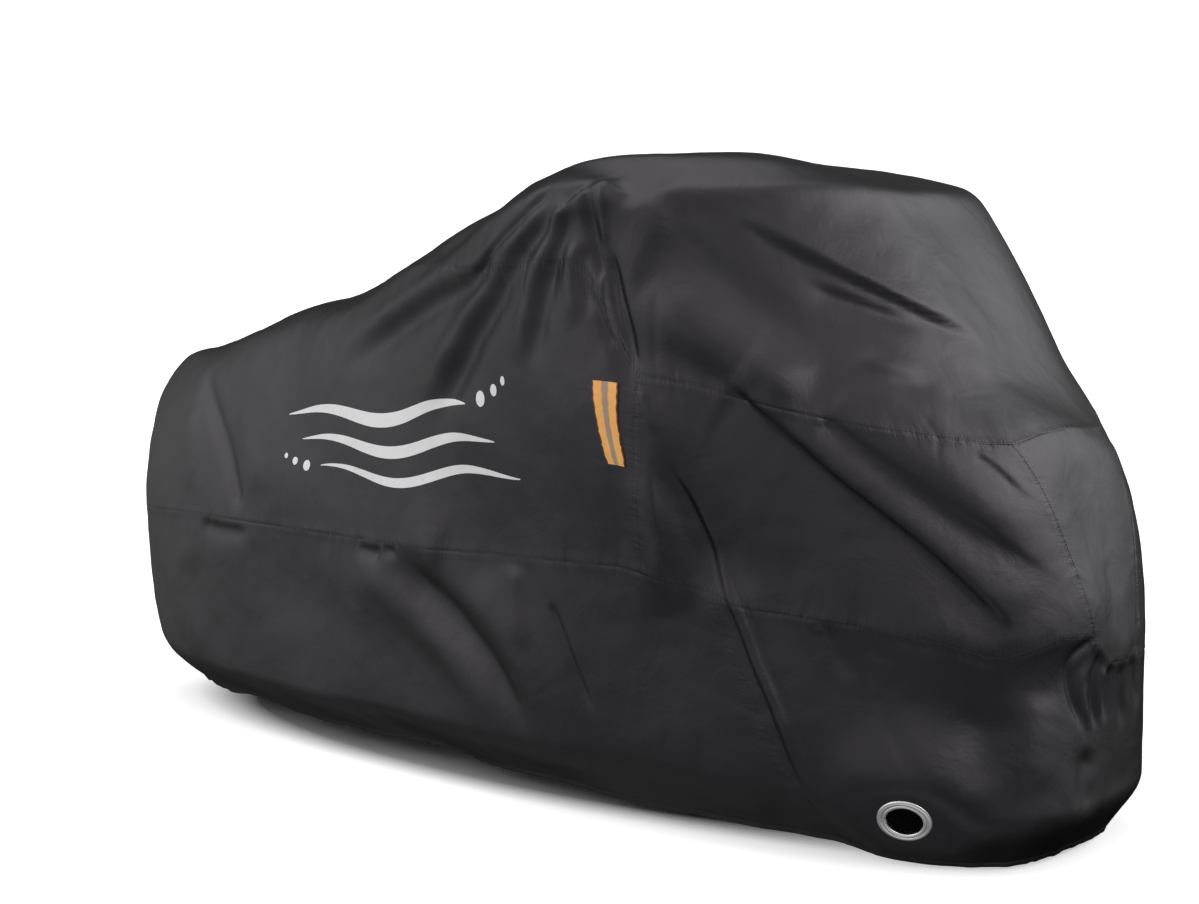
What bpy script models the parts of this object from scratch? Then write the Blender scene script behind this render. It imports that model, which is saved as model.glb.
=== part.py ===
"""Fitted outdoor cover for two bicycles: the cover alone, hollow, as it hangs over them.

Metres, +Z up.  The front of the covered bicycles is +X and their far side is +Y.
The origin lies under the middle of the cover, at the height of the lowest point of its hem.

A place on the cloth is given by two numbers:
    turn   0 at the middle of the rear, 1 at the middle of the nose along the near side (-Y),
           and 2 at the rear again along the far side
    share  0 at the hem, 1 at the ridge line on top
"""
import math
from collections import namedtuple

import bmesh
import bpy
import numpy as np
from mathutils import Matrix, Vector
from mathutils.bvhtree import BVHTree

# Driving sizes
CLOTH_THICKNESS = 0.002
PIECE_GAP = 0.0005

# Plan outline: the half length and typical half width along which turns are spaced evenly,
# and the power that squares its ends
HALF_LENGTH = 1.03
TYPICAL_HALF_WIDTH = 0.36
END_POWER = 3.2
OUTLINE_STEPS = 801

# Eyelet in the near front lower corner
EYELET_TURN = 0.862
EYELET_SHARE = 0.091
EYELET_BEARING = math.radians(24)
EYELET_DROP = math.radians(32)
EYELET_OUTER = 0.037
EYELET_HOLE = 0.024
EYELET_BARREL = 0.026
EYELET_STEPS = 40
CLOTH_HOLE = 0.0266
CUTTER_SEGMENTS = 48
CUTTER_DEPTH = 0.030
EYELET_SINK = 0.003
FLAT_REACH = 0.062
BLEND_REACH = 0.105

# Reflective strip beside the upright seam, as corners on the cloth
STRIP_THICKNESS = 0.0012
STRIP_GAP = 0.0005
STRIP_TOP_SHARE = 0.566
STRIP_FOOT_SHARE = 0.481
STRIP_TOP_TURNS = (0.7065, 0.7235)
STRIP_FOOT_TURNS = (0.7085, 0.7200)
STRIP_COLUMNS = 6
STRIP_ROWS = 14
STRIP_CAST = 0.030

# Places along X at which the half widths and heights of a level are given
STATIONS = {"tail": -0.950, "rear": -0.620, "seat": -0.250, "neck": 0.090, "bar": 0.455,
            "slope": 0.700, "tip": 0.955}

# Rings of the draped body from the hem to the ridge: where each ends at the rear and the
# nose, its half widths and its heights at the stations
Level = namedtuple("Level", "name share tail tip halves heights")
LEVELS = (
    Level("hem", 0.00, -0.925, 0.988,
          (0.240, 0.246, 0.254, 0.264, 0.276, 0.278, 0.286),
          (0.030, 0.036, 0.034, 0.028, 0.022, 0.017, 0.008)),
    Level("tuck", 0.12, -1.012, 1.030,
          (0.322, 0.338, 0.344, 0.352, 0.362, 0.362, 0.354),
          (0.128, 0.120, 0.114, 0.114, 0.116, 0.110, 0.086)),
    Level("belly seam", 0.36, -1.030, 1.030,
          (0.350, 0.356, 0.356, 0.371, 0.402, 0.389, 0.333),
          (0.384, 0.392, 0.384, 0.380, 0.386, 0.352, 0.297)),
    Level("chest", 0.56, -1.017, 0.985,
          (0.315, 0.320, 0.330, 0.378, 0.443, 0.419, 0.354),
          (0.578, 0.586, 0.600, 0.619, 0.640, 0.600, 0.540)),
    Level("shoulder", 0.76, -0.965, 0.905,
          (0.228, 0.240, 0.275, 0.342, 0.436, 0.405, 0.325),
          (0.680, 0.717, 0.765, 0.856, 0.916, 0.776, 0.605)),
    Level("roof", 0.90, -0.945, 0.715,
          (0.126, 0.155, 0.190, 0.240, 0.408, 0.359, 0.225),
          (0.682, 0.745, 0.812, 0.903, 0.960, 0.936, 0.673)),
    Level("ridge", 1.00, -0.860, 0.550,
          (0.0, 0.0, 0.0, 0.0, 0.0, 0.0, 0.0),
          (0.690, 0.768, 0.838, 0.930, 0.983, 0.925, 0.668)),
)

# Height of the two seams that run round the cover, as turn and share
BELLY_SEAM = ((0.00, 0.360), (0.74, 0.362), (0.78, 0.350), (0.84, 0.363), (0.88, 0.360),
              (0.91, 0.351), (0.945, 0.374), (0.968, 0.371), (0.99, 0.334), (1.06, 0.331),
              (1.15, 0.350), (1.30, 0.362), (2.00, 0.360))
UPPER_SEAM = ((0.00, 0.840), (0.16, 0.840), (0.32, 0.855), (0.42, 0.860), (0.47, 0.800),
              (0.52, 0.735), (0.58, 0.690), (0.62, 0.676), (0.66, 0.668), (0.700, 0.664),
              (0.712, 0.645), (0.722, 0.612), (0.738, 0.576), (0.774, 0.580), (0.821, 0.577),
              (0.863, 0.580), (0.900, 0.589), (0.940, 0.597), (0.965, 0.628), (1.00, 0.642),
              (1.06, 0.644), (1.16, 0.600), (1.23, 0.578), (1.262, 0.576), (1.278, 0.612),
              (1.288, 0.645), (1.300, 0.664), (1.34, 0.668), (1.38, 0.676), (1.42, 0.690),
              (1.48, 0.735), (1.53, 0.800), (1.58, 0.860), (1.68, 0.855), (1.84, 0.840),
              (2.00, 0.840))

# Upright lines of the mesh: the turn of each at the hem, the belly seam, the upper seam and
# the ridge, and the number of columns from it to the next.  Three of them are seams.
Upright = namedtuple("Upright", "name hem belly upper ridge columns")
UPRIGHTS = (
    Upright("tail", 0.000, 0.000, 0.000, 0.000, 5),
    Upright("rear", 0.200, 0.200, 0.200, 0.200, 6),
    Upright("seat", 0.440, 0.440, 0.440, 0.440, 5),
    Upright("fan", 0.570, 0.570, 0.580, 0.580, 9),
    Upright("side seam", 0.705, 0.715, 0.738, 0.745, 4),
    Upright("skirt seam", 0.822, 0.757, 0.775, 0.790, 4),
    Upright("corner rear", 0.840, 0.825, 0.825, 0.830, 4),
    Upright("corner front", 0.894, 0.884, 0.880, 0.880, 5),
    Upright("nose seam", 0.975, 0.972, 0.936, 0.940, 3),
    Upright("nose", 1.000, 1.000, 1.000, 1.000, 0),
)
SKIRT_ROWS = (0.0, 0.08, 0.16, 0.24, 0.32, 0.40, 0.50, 0.62, 0.75, 0.88, 1.0)
BELLY_ROWS = 10
TOP_ROWS = 11
TOP_CROWDING = 1.35

# Main folds: a path of (turn, share) places, the reach to its left and right across the
# path, the height outwards (negative for a trough), and how sharp the line is
Fold = namedtuple("Fold", "name path left right height sharp")
FOLDS = (
    Fold("fan trough a", ((0.704, 0.790), (0.632, 0.709), (0.564, 0.682), (0.492, 0.662), (0.419, 0.639)),
         0.030, 0.018, -0.010, False),
    Fold("fan ridge a", ((0.700, 0.810), (0.640, 0.742), (0.566, 0.716), (0.500, 0.700)),
         0.026, 0.026, 0.009, False),
    Fold("fan trough b", ((0.700, 0.770), (0.664, 0.719), (0.637, 0.674), (0.581, 0.624), (0.537, 0.546)),
         0.030, 0.018, -0.011, False),
    Fold("fan ridge b", ((0.700, 0.780), (0.655, 0.712), (0.615, 0.670), (0.560, 0.630)),
         0.022, 0.022, 0.007, False),
    Fold("fan trough c", ((0.709, 0.760), (0.686, 0.697), (0.674, 0.662), (0.659, 0.600), (0.648, 0.530)),
         0.022, 0.018, -0.009, False),
    Fold("fan ridge c", ((0.712, 0.760), (0.694, 0.697), (0.686, 0.650), (0.676, 0.590)),
         0.018, 0.018, 0.006, False),
    Fold("fan trough d", ((0.703, 0.700), (0.700, 0.659), (0.699, 0.600), (0.697, 0.540)),
         0.020, 0.016, -0.006, False),
    Fold("bar crease", ((0.717, 0.760), (0.718, 0.694), (0.724, 0.640), (0.738, 0.575), (0.742, 0.520)),
         0.020, 0.028, -0.014, True),
    Fold("bar end", ((0.716, 0.845), (0.722, 0.815), (0.724, 0.785), (0.724, 0.755)),
         0.036, 0.036, 0.005, False),
    Fold("hood crease", ((0.838, 0.830), (0.870, 0.817), (0.902, 0.812), (0.940, 0.804), (0.975, 0.797)),
         0.034, 0.050, -0.012, False),
    Fold("hood swell", ((0.830, 0.790), (0.865, 0.775), (0.900, 0.765), (0.940, 0.757)),
         0.045, 0.045, 0.008, False),
    Fold("hood second crease", ((0.868, 0.802), (0.890, 0.800), (0.927, 0.790)),
         0.016, 0.024, -0.006, False),
    Fold("hood lower crease", ((0.868, 0.690), (0.885, 0.704), (0.915, 0.716)),
         0.020, 0.028, -0.007, False),
    Fold("side crease", ((0.795, 0.578), (0.832, 0.525), (0.859, 0.481), (0.890, 0.435), (0.922, 0.388)),
         0.034, 0.052, -0.013, False),
    Fold("side swell", ((0.790, 0.540), (0.825, 0.480), (0.852, 0.435), (0.880, 0.395)),
         0.045, 0.040, 0.008, False),
    Fold("side second crease", ((0.842, 0.575), (0.883, 0.524), (0.920, 0.477)),
         0.028, 0.034, -0.006, False),
    Fold("side third crease", ((0.890, 0.578), (0.910, 0.560), (0.930, 0.540)),
         0.020, 0.026, -0.004, False),
    Fold("pinched ridge", ((0.740, 0.560), (0.749, 0.510), (0.752, 0.440), (0.755, 0.370), (0.773, 0.320),
                           (0.790, 0.248), (0.808, 0.150), (0.820, 0.060)),
         0.024, 0.030, 0.015, True),
    Fold("pinch valley", ((0.737, 0.540), (0.741, 0.470), (0.740, 0.410), (0.738, 0.350)),
         0.030, 0.026, -0.012, False),
    Fold("skirt crease", ((0.643, 0.310), (0.653, 0.260), (0.666, 0.195)),
         0.018, 0.026, -0.008, False),
    Fold("skirt swell", ((0.430, 0.330), (0.510, 0.285), (0.590, 0.230), (0.680, 0.160)),
         0.070, 0.070, 0.008, False),
    Fold("skirt trough", ((0.300, 0.320), (0.380, 0.270), (0.470, 0.210), (0.560, 0.150)),
         0.060, 0.060, -0.006, False),
    Fold("rear hang", ((0.190, 0.640), (0.205, 0.520), (0.215, 0.400)),
         0.045, 0.060, -0.007, False),
    Fold("belly hang", ((0.330, 0.640), (0.370, 0.540), (0.420, 0.450)),
         0.060, 0.060, -0.006, False),
    Fold("nose trough", ((0.968, 0.560), (0.985, 0.480), (1.000, 0.400), (1.010, 0.300)),
         0.035, 0.045, -0.008, False),
    Fold("nose gather", ((0.975, 0.360), (0.990, 0.310), (0.998, 0.230)),
         0.018, 0.022, -0.008, False),
    Fold("corner gather", ((1.010, 0.345), (1.016, 0.290), (1.020, 0.220)),
         0.018, 0.020, -0.007, False),
    Fold("far drape a", ((1.300, 0.760), (1.370, 0.690), (1.450, 0.620), (1.530, 0.560)),
         0.045, 0.040, -0.010, False),
    Fold("far drape b", ((1.285, 0.700), (1.310, 0.620), (1.350, 0.520)),
         0.030, 0.030, -0.009, False),
    Fold("far side crease", ((1.200, 0.560), (1.150, 0.480), (1.100, 0.400)),
         0.030, 0.045, -0.011, False),
    Fold("far skirt hang", ((1.400, 0.330), (1.440, 0.240), (1.500, 0.140)),
         0.050, 0.050, -0.007, False),
)
SHARP_SOFTENING = 0.35
RIDGE_FADE = 0.05

# Slow unevenness of the whole cloth: waves per turn, waves per share, depth, phase
Wave = namedtuple("Wave", "per_turn per_share depth phase")
WAVES = (
    Wave(7.0, 1.3, 0.0030, 0.4),
    Wave(11.0, -2.1, 0.0022, 1.9),
    Wave(17.0, 3.2, 0.0014, 4.1),
)


def smooth(knots, values, at):
    """Read a monotone cubic through the values at each place in at."""
    knots = np.asarray(knots, float)
    values = np.asarray(values, float)
    if values.ndim == 1:
        values = values[:, None] * np.ones(at.shape)
    step = np.diff(knots)[:, None]
    rise = np.diff(values, axis=0) / step
    before = 2 * step[1:] + step[:-1]
    after = step[1:] + 2 * step[:-1]
    same_way = rise[:-1] * rise[1:] > 0
    lower = np.where(same_way, rise[:-1], 1.0)
    upper = np.where(same_way, rise[1:], 1.0)
    slope = np.zeros_like(values)
    slope[0] = rise[0]
    slope[-1] = rise[-1]
    slope[1:-1] = np.where(same_way, (before + after) / (before / lower + after / upper), 0.0)
    cell = np.clip(np.searchsorted(knots, at) - 1, 0, len(knots) - 2)
    width = knots[cell + 1] - knots[cell]
    f = np.clip((at - knots[cell]) / width, 0.0, 1.0)
    n = np.arange(at.size)
    return (values[cell, n] * (1 + 2 * f) * (1 - f) ** 2
            + values[cell + 1, n] * f * f * (3 - 2 * f)
            + slope[cell, n] * width * f * (1 - f) ** 2
            + slope[cell + 1, n] * width * f * f * (f - 1))


def step_up(x):
    """Ease from 0 to 1."""
    x = np.clip(x, 0.0, 1.0)
    return x * x * (3 - 2 * x)


def plan_outline():
    """Even steps along half of the plan outline: turn, place along and place across."""
    angle = np.linspace(0.0, math.pi, OUTLINE_STEPS)
    along = -np.sign(np.cos(angle)) * np.abs(np.cos(angle)) ** (2 / END_POWER)
    across = np.abs(np.sin(angle)) ** (2 / END_POWER)
    run = np.hypot(np.diff(along) * HALF_LENGTH, np.diff(across) * TYPICAL_HALF_WIDTH)
    length = np.concatenate(([0.0], np.cumsum(run)))
    return length / length[-1], along, across


OUTLINE = plan_outline()


def body(turn, share):
    """Points of the draped body without its folds."""
    turn = np.mod(turn, 2.0)
    side = np.where(turn <= 1.0, -1.0, 1.0)
    near = np.where(turn <= 1.0, turn, 2.0 - turn)
    along = np.interp(near, OUTLINE[0], OUTLINE[1])
    across = np.interp(near, OUTLINE[0], OUTLINE[2])
    stations = list(STATIONS.values())
    rings = []
    for level in LEVELS:
        x = level.tail + (level.tip - level.tail) * (along + 1) / 2
        y = side * across * smooth(stations, level.halves, x)
        rings.append((x, y, smooth(stations, level.heights, x)))
    rings = np.array(rings)
    shares = [level.share for level in LEVELS]
    return np.stack([smooth(shares, rings[:, axis], share) for axis in range(3)], axis=-1)


def body_normals(turn, share):
    """Outward normals of the draped body."""
    small = 0.002
    low = np.clip(share - small, 0.0, 1.0)
    high = np.clip(share + small, 0.0, 1.0)
    round_ = body(turn + small, share) - body(turn - small, share)
    upward = body(turn, high) - body(turn, low)
    normal = np.cross(round_, upward)
    size = np.linalg.norm(normal, axis=-1, keepdims=True)
    return normal / np.maximum(size, 1e-12)


def path_points(path, steps=6):
    """The path of a fold as a close run of points on the body."""
    path = np.array(path)
    knots = np.arange(len(path))
    at = np.linspace(0, len(path) - 1, steps * (len(path) - 1) + 1)
    return body(smooth(knots, path[:, 0], at), smooth(knots, path[:, 1], at))


def fold_relief(fold, points, normals):
    """Height that one fold adds at each point."""
    line = path_points(fold.path)
    start = line[:-1]
    run = np.diff(line, axis=0)
    best = np.full(len(points), 1e9)
    offset = np.zeros(len(points))
    place = np.zeros(len(points))
    for i in range(len(run)):
        away = points - start[i]
        f = np.clip(away @ run[i] / (run[i] @ run[i]), 0.0, 1.0)
        away = away - f[:, None] * run[i]
        distance = np.linalg.norm(away, axis=1)
        sign = np.sign(np.einsum("ij,ij->i", np.cross(normals, run[i]), away))
        closer = distance < best
        best = np.where(closer, distance, best)
        offset = np.where(closer, sign * distance, offset)
        place = np.where(closer, (i + f) / len(run), place)
    reach = np.where(offset > 0, fold.left, fold.right)
    across = np.abs(offset) / reach
    if fold.sharp:
        across = np.sqrt(across ** 2 + SHARP_SOFTENING ** 2) - SHARP_SOFTENING
        shape = np.exp(-1.4 * across)
    else:
        shape = np.exp(-across ** 2)
    ends = step_up(place / 0.3) * step_up((1 - place) / 0.3)
    return fold.height * shape * ends


def eyelet_frame():
    """Centre and outward normal of the eyelet."""
    turn = np.array([EYELET_TURN])
    share = np.array([EYELET_SHARE])
    normal = np.array((math.sin(EYELET_BEARING) * math.cos(EYELET_DROP),
                       -math.cos(EYELET_BEARING) * math.cos(EYELET_DROP),
                       -math.sin(EYELET_DROP)))
    return body(turn, share)[0] - normal * EYELET_SINK, normal


def cloth(turn, share):
    """Points of the outer face of the cloth, with its folds."""
    points = body(turn, share)
    normals = body_normals(turn, share)
    relief = np.zeros(len(points))
    for fold in FOLDS:
        relief += fold_relief(fold, points, normals)
    for wave in WAVES:
        relief += wave.depth * np.sin(
            math.tau * (wave.per_turn * turn / 2 + wave.per_share * share) + wave.phase)
    relief *= step_up((1 - share) / RIDGE_FADE)
    points = points + normals * relief[:, None]
    centre, facing = eyelet_frame()
    away = points - centre
    height = away @ facing
    reach = np.linalg.norm(away - height[:, None] * facing, axis=1)
    flat = step_up((BLEND_REACH - reach) / (BLEND_REACH - FLAT_REACH))
    flat *= np.linalg.norm(away, axis=1) < 2 * BLEND_REACH
    return points - (flat * height)[:, None] * facing


def half_columns():
    """Turns of the near side's columns at the hem, belly seam, upper seam and ridge."""
    columns = []
    for one, other in zip(UPRIGHTS, UPRIGHTS[1:]):
        for i in range(one.columns):
            f = i / one.columns
            columns.append([a + (b - a) * f for a, b in zip(one[1:5], other[1:5])])
    columns.append(list(UPRIGHTS[-1][1:5]))
    return np.array(columns)


def column_of(name):
    """Index of the column that follows the named upright."""
    count = 0
    for upright in UPRIGHTS:
        if upright.name == name:
            return count
        count += upright.columns
    raise KeyError(name)


def seam_share(seam, turn):
    places = np.array(seam)
    return np.interp(np.mod(turn, 2.0), places[:, 0], places[:, 1])


def cloth_grid():
    """Outer points and normals of the whole cover, as rows from hem to ridge and columns."""
    near = half_columns()
    columns = np.vstack([near, 2.0 - near[-2:0:-1]])
    hem, belly, upper, ridge = columns.T
    belly_share = seam_share(BELLY_SEAM, belly)
    upper_share = seam_share(UPPER_SEAM, upper)
    turns = []
    shares = []
    for f in SKIRT_ROWS:
        turns.append(hem + (belly - hem) * f)
        shares.append(belly_share * f)
    for i in range(1, BELLY_ROWS + 1):
        f = i / BELLY_ROWS
        turns.append(belly + (upper - belly) * f)
        shares.append(belly_share + (upper_share - belly_share) * f)
    for i in range(1, TOP_ROWS + 1):
        f = 1 - (1 - i / TOP_ROWS) ** TOP_CROWDING
        turns.append(upper + (ridge - upper) * f)
        shares.append(upper_share + (1 - upper_share) * f)
    turns = np.array(turns)
    shares = np.array(shares)
    points = cloth(turns.ravel(), shares.ravel()).reshape(turns.shape + (3,))
    points[-1, -1:len(near) - 1:-1] = points[-1, 1:len(near) - 1]
    round_ = np.roll(points, -1, axis=1) - np.roll(points, 1, axis=1)
    normals = np.cross(round_, np.gradient(points, axis=0))
    normals[-1] = np.cross(round_[-2], np.gradient(points, axis=0)[-2])
    normals[-1] += normals[-1, -np.arange(points.shape[1])]
    normals /= np.linalg.norm(normals, axis=-1, keepdims=True)
    return points, normals


SKIRT_TOP = len(SKIRT_ROWS) - 1
BELLY_TOP = SKIRT_TOP + BELLY_ROWS
RIDGE = BELLY_TOP + TOP_ROWS


def draw_in(points, on_rows, on_columns):
    """Move the edges of a patch inwards by half of the gap that parts two pieces."""
    points = points.copy()
    if on_rows[0]:
        points[0] += unit(points[1] - points[0]) * PIECE_GAP / 2
    if on_rows[1]:
        points[-1] += unit(points[-2] - points[-1]) * PIECE_GAP / 2
    if on_columns:
        points[:, 0] += unit(points[:, 1] - points[:, 0]) * PIECE_GAP / 2
        points[:, -1] += unit(points[:, -2] - points[:, -1]) * PIECE_GAP / 2
    return points


def unit(vectors):
    size = np.linalg.norm(vectors, axis=-1, keepdims=True)
    return vectors / np.maximum(size, 1e-12)


def add_solid(name, mesh_builder, material, collection):
    """Make one object from a bmesh with all of its faces turned outwards."""
    bmesh.ops.recalc_face_normals(mesh_builder, faces=mesh_builder.faces)
    mesh = bpy.data.meshes.new(name)
    mesh_builder.to_mesh(mesh)
    mesh_builder.free()
    mesh.materials.append(material)
    thing = bpy.data.objects.new(name, mesh)
    collection.objects.link(thing)
    return thing


def sheet(name, outer, normals, thickness, material, collection):
    """A sheet of even thickness under a grid of outer points."""
    build = bmesh.new()
    rows, columns = outer.shape[:2]
    faces = (outer, outer - normals * thickness)
    skins = [[[build.verts.new(skin[r, c]) for c in range(columns)] for r in range(rows)]
             for skin in faces]
    for r in range(rows - 1):
        for c in range(columns - 1):
            for skin in skins:
                build.faces.new((skin[r][c], skin[r][c + 1], skin[r + 1][c + 1], skin[r + 1][c]))
    front, back = skins
    for r in (0, rows - 1):
        for c in range(columns - 1):
            build.faces.new((front[r][c], front[r][c + 1], back[r][c + 1], back[r][c]))
    for c in (0, columns - 1):
        for r in range(rows - 1):
            build.faces.new((front[r][c], front[r + 1][c], back[r + 1][c], back[r][c]))
    return add_solid(name, build, material, collection)


def top_sheet(name, outer, normals, material, collection):
    """The top panel: rings that close on the ridge line, where the two sides share points."""
    build = bmesh.new()
    rows, columns = outer.shape[:2]
    half = columns // 2
    skins = []
    for skin in (outer, outer - normals * CLOTH_THICKNESS):
        rings = [[build.verts.new(skin[r, c]) for c in range(columns)] for r in range(rows - 1)]
        ridge = [build.verts.new(skin[-1, c]) for c in range(half + 1)]
        rings.append(ridge + ridge[-2:0:-1])
        skins.append(rings)
    for r in range(rows - 1):
        for c in range(columns):
            d = (c + 1) % columns
            for skin in skins:
                corners = (skin[r][c], skin[r][d], skin[r + 1][d], skin[r + 1][c])
                build.faces.new(corners)
    for c in range(columns):
        d = (c + 1) % columns
        build.faces.new((skins[0][0][c], skins[0][0][d], skins[1][0][d], skins[1][0][c]))
    return add_solid(name, build, material, collection)


def cut(target, cutter):
    """Cut the hole of a cutter out of a solid."""
    modifier = target.modifiers.new("hole", "BOOLEAN")
    modifier.operation = "DIFFERENCE"
    modifier.solver = "EXACT"
    modifier.object = cutter
    cutter.display_type = "WIRE"
    cutter.hide_render = True


def facing_matrix(centre, normal):
    """Placement that turns local +Z along the normal."""
    turn = Vector(normal).to_track_quat("Z", "Y")
    return Matrix.Translation(Vector(centre)) @ turn.to_matrix().to_4x4()


def add_hole_cutter(collection):
    centre, normal = eyelet_frame()
    build = bmesh.new()
    bmesh.ops.create_cone(build, cap_ends=True, segments=CUTTER_SEGMENTS,
                          radius1=CLOTH_HOLE, radius2=CLOTH_HOLE, depth=CUTTER_DEPTH)
    mesh = bpy.data.meshes.new("eyelet_hole_cutter")
    build.to_mesh(mesh)
    build.free()
    cutter = bpy.data.objects.new("eyelet_hole_cutter", mesh)
    collection.objects.link(cutter)
    cutter.matrix_world = facing_matrix(centre, normal)
    return cutter


def add_eyelet(material, collection):
    """Pressed ring: front flange with one groove, barrel through the cloth, washer behind."""
    clear = 0.00035
    back = -CLOTH_THICKNESS - clear
    profile = (
        (EYELET_HOLE, 0.0002),
        (EYELET_HOLE + 0.0006, 0.0016),
        (EYELET_HOLE + 0.0024, 0.0026),
        (EYELET_HOLE + 0.0048, 0.0027),
        (EYELET_HOLE + 0.0056, 0.0021),
        (EYELET_HOLE + 0.0064, 0.0027),
        (EYELET_HOLE + 0.0094, 0.0025),
        (EYELET_OUTER - 0.0012, 0.0016),
        (EYELET_OUTER, clear),
        (EYELET_BARREL, clear),
        (EYELET_BARREL, back),
        (EYELET_OUTER - 0.0030, back),
        (EYELET_OUTER - 0.0034, back - 0.0008),
        (EYELET_HOLE + 0.0030, back - 0.0012),
        (EYELET_HOLE + 0.0008, back - 0.0008),
        (EYELET_HOLE, back + 0.0004),
    )
    build = bmesh.new()
    points = [build.verts.new((radius, 0.0, height)) for radius, height in profile]
    for one, other in zip(points, points[1:] + points[:1]):
        build.edges.new((one, other))
    mesh = bpy.data.meshes.new("eyelet")
    build.to_mesh(mesh)
    build.free()
    mesh.materials.append(material)
    ring = bpy.data.objects.new("eyelet", mesh)
    collection.objects.link(ring)
    ring.matrix_world = facing_matrix(*eyelet_frame())
    screw = ring.modifiers.new("turn", "SCREW")
    screw.angle = math.tau
    screw.steps = EYELET_STEPS
    screw.render_steps = EYELET_STEPS
    screw.use_merge_vertices = True
    screw.merge_threshold = 0.00001
    return ring


def add_strip(carrier, material, collection):
    """Reflective strip lying on the near side panel."""
    carried = BVHTree.FromObject(carrier, bpy.context.evaluated_depsgraph_get())
    outer = np.zeros((STRIP_ROWS + 1, STRIP_COLUMNS + 1, 3))
    normals = np.zeros_like(outer)
    for r in range(STRIP_ROWS + 1):
        f = r / STRIP_ROWS
        share = STRIP_FOOT_SHARE + (STRIP_TOP_SHARE - STRIP_FOOT_SHARE) * f
        left = STRIP_FOOT_TURNS[0] + (STRIP_TOP_TURNS[0] - STRIP_FOOT_TURNS[0]) * f
        right = STRIP_FOOT_TURNS[1] + (STRIP_TOP_TURNS[1] - STRIP_FOOT_TURNS[1]) * f
        turn = np.linspace(left, right, STRIP_COLUMNS + 1)
        shares = np.full_like(turn, share)
        directions = body_normals(turn, shares)
        starts = cloth(turn, shares) + directions * STRIP_CAST
        for c in range(STRIP_COLUMNS + 1):
            place, normal, _, _ = carried.ray_cast(Vector(starts[c]), Vector(-directions[c]))
            outer[r, c] = place
            normals[r, c] = directions[c]
    outer += normals * (STRIP_GAP + STRIP_THICKNESS)
    return sheet("reflective_strip", outer, normals, STRIP_THICKNESS, material, collection)


def add_panels(cloth_material, collection):
    """Cut the one draped surface into its sewn pieces."""
    points, normals = cloth_grid()
    count = points.shape[1]
    side = column_of("side seam")
    skirt = column_of("skirt seam")
    nose = column_of("nose seam")
    Panel = namedtuple("Panel", "name rows columns edges")
    panels = (
        Panel("rear_skirt", (0, SKIRT_TOP), (-skirt, skirt), (False, True)),
        Panel("front_skirt", (0, SKIRT_TOP), (skirt, count - skirt), (False, True)),
        Panel("rear_wrap", (SKIRT_TOP, BELLY_TOP), (-side, side), (True, True)),
        Panel("side_near", (SKIRT_TOP, BELLY_TOP), (side, nose), (True, True)),
        Panel("nose_panel", (SKIRT_TOP, BELLY_TOP), (nose, count - nose), (True, True)),
        Panel("side_far", (SKIRT_TOP, BELLY_TOP), (count - nose, count - side), (True, True)),
    )
    made = {}
    for panel in panels:
        columns = np.arange(panel.columns[0], panel.columns[1] + 1) % count
        rows = slice(panel.rows[0], panel.rows[1] + 1)
        patch = draw_in(points[rows][:, columns], panel.edges, True)
        made[panel.name] = sheet(panel.name, patch, normals[rows][:, columns], CLOTH_THICKNESS,
                                 cloth_material, collection)
    rows = slice(BELLY_TOP, RIDGE + 1)
    patch = draw_in(points[rows], (True, False), False)
    made["top_panel"] = top_sheet("top_panel", patch, normals[rows], cloth_material, collection)
    return made


def add_material(name, colour, roughness, metallic):
    material = bpy.data.materials.new(name)
    material.use_nodes = True
    shader = material.node_tree.nodes["Principled BSDF"]
    shader.inputs["Base Color"].default_value = (*colour, 1.0)
    shader.inputs["Roughness"].default_value = roughness
    shader.inputs["Metallic"].default_value = metallic
    material.diffuse_color = (*colour, 1.0)
    return material


def main():
    for thing in list(bpy.data.objects):
        bpy.data.objects.remove(thing, do_unlink=True)
    cover = bpy.data.collections.new("bicycle_cover")
    helpers = bpy.data.collections.new("cutters")
    bpy.context.scene.collection.children.link(cover)
    bpy.context.scene.collection.children.link(helpers)

    cloth_black = add_material("coated polyester", (0.030, 0.030, 0.032), 0.45, 0.0)
    metal = add_material("eyelet metal", (0.78, 0.78, 0.78), 0.22, 1.0)
    tape = add_material("reflective tape", (0.85, 0.33, 0.08), 0.40, 0.0)

    panels = add_panels(cloth_black, cover)
    cut(panels["front_skirt"], add_hole_cutter(helpers))
    add_eyelet(metal, cover)
    add_strip(panels["rear_wrap"], tape, cover)


main()
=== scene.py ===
"""Looks of a fitted outdoor bicycle cover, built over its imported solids.

Metres, +Z up.  A place on the cloth is given by two numbers:
    turn   0 at the middle of the rear, 1 at the middle of the nose along the near side (-Y),
           and 2 at the rear again along the far side
    share  0 at the hem, 1 at the ridge line on top
"""
import math
from collections import namedtuple

import bmesh
import bpy
import numpy as np
from mathutils import Matrix, Vector, noise


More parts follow.
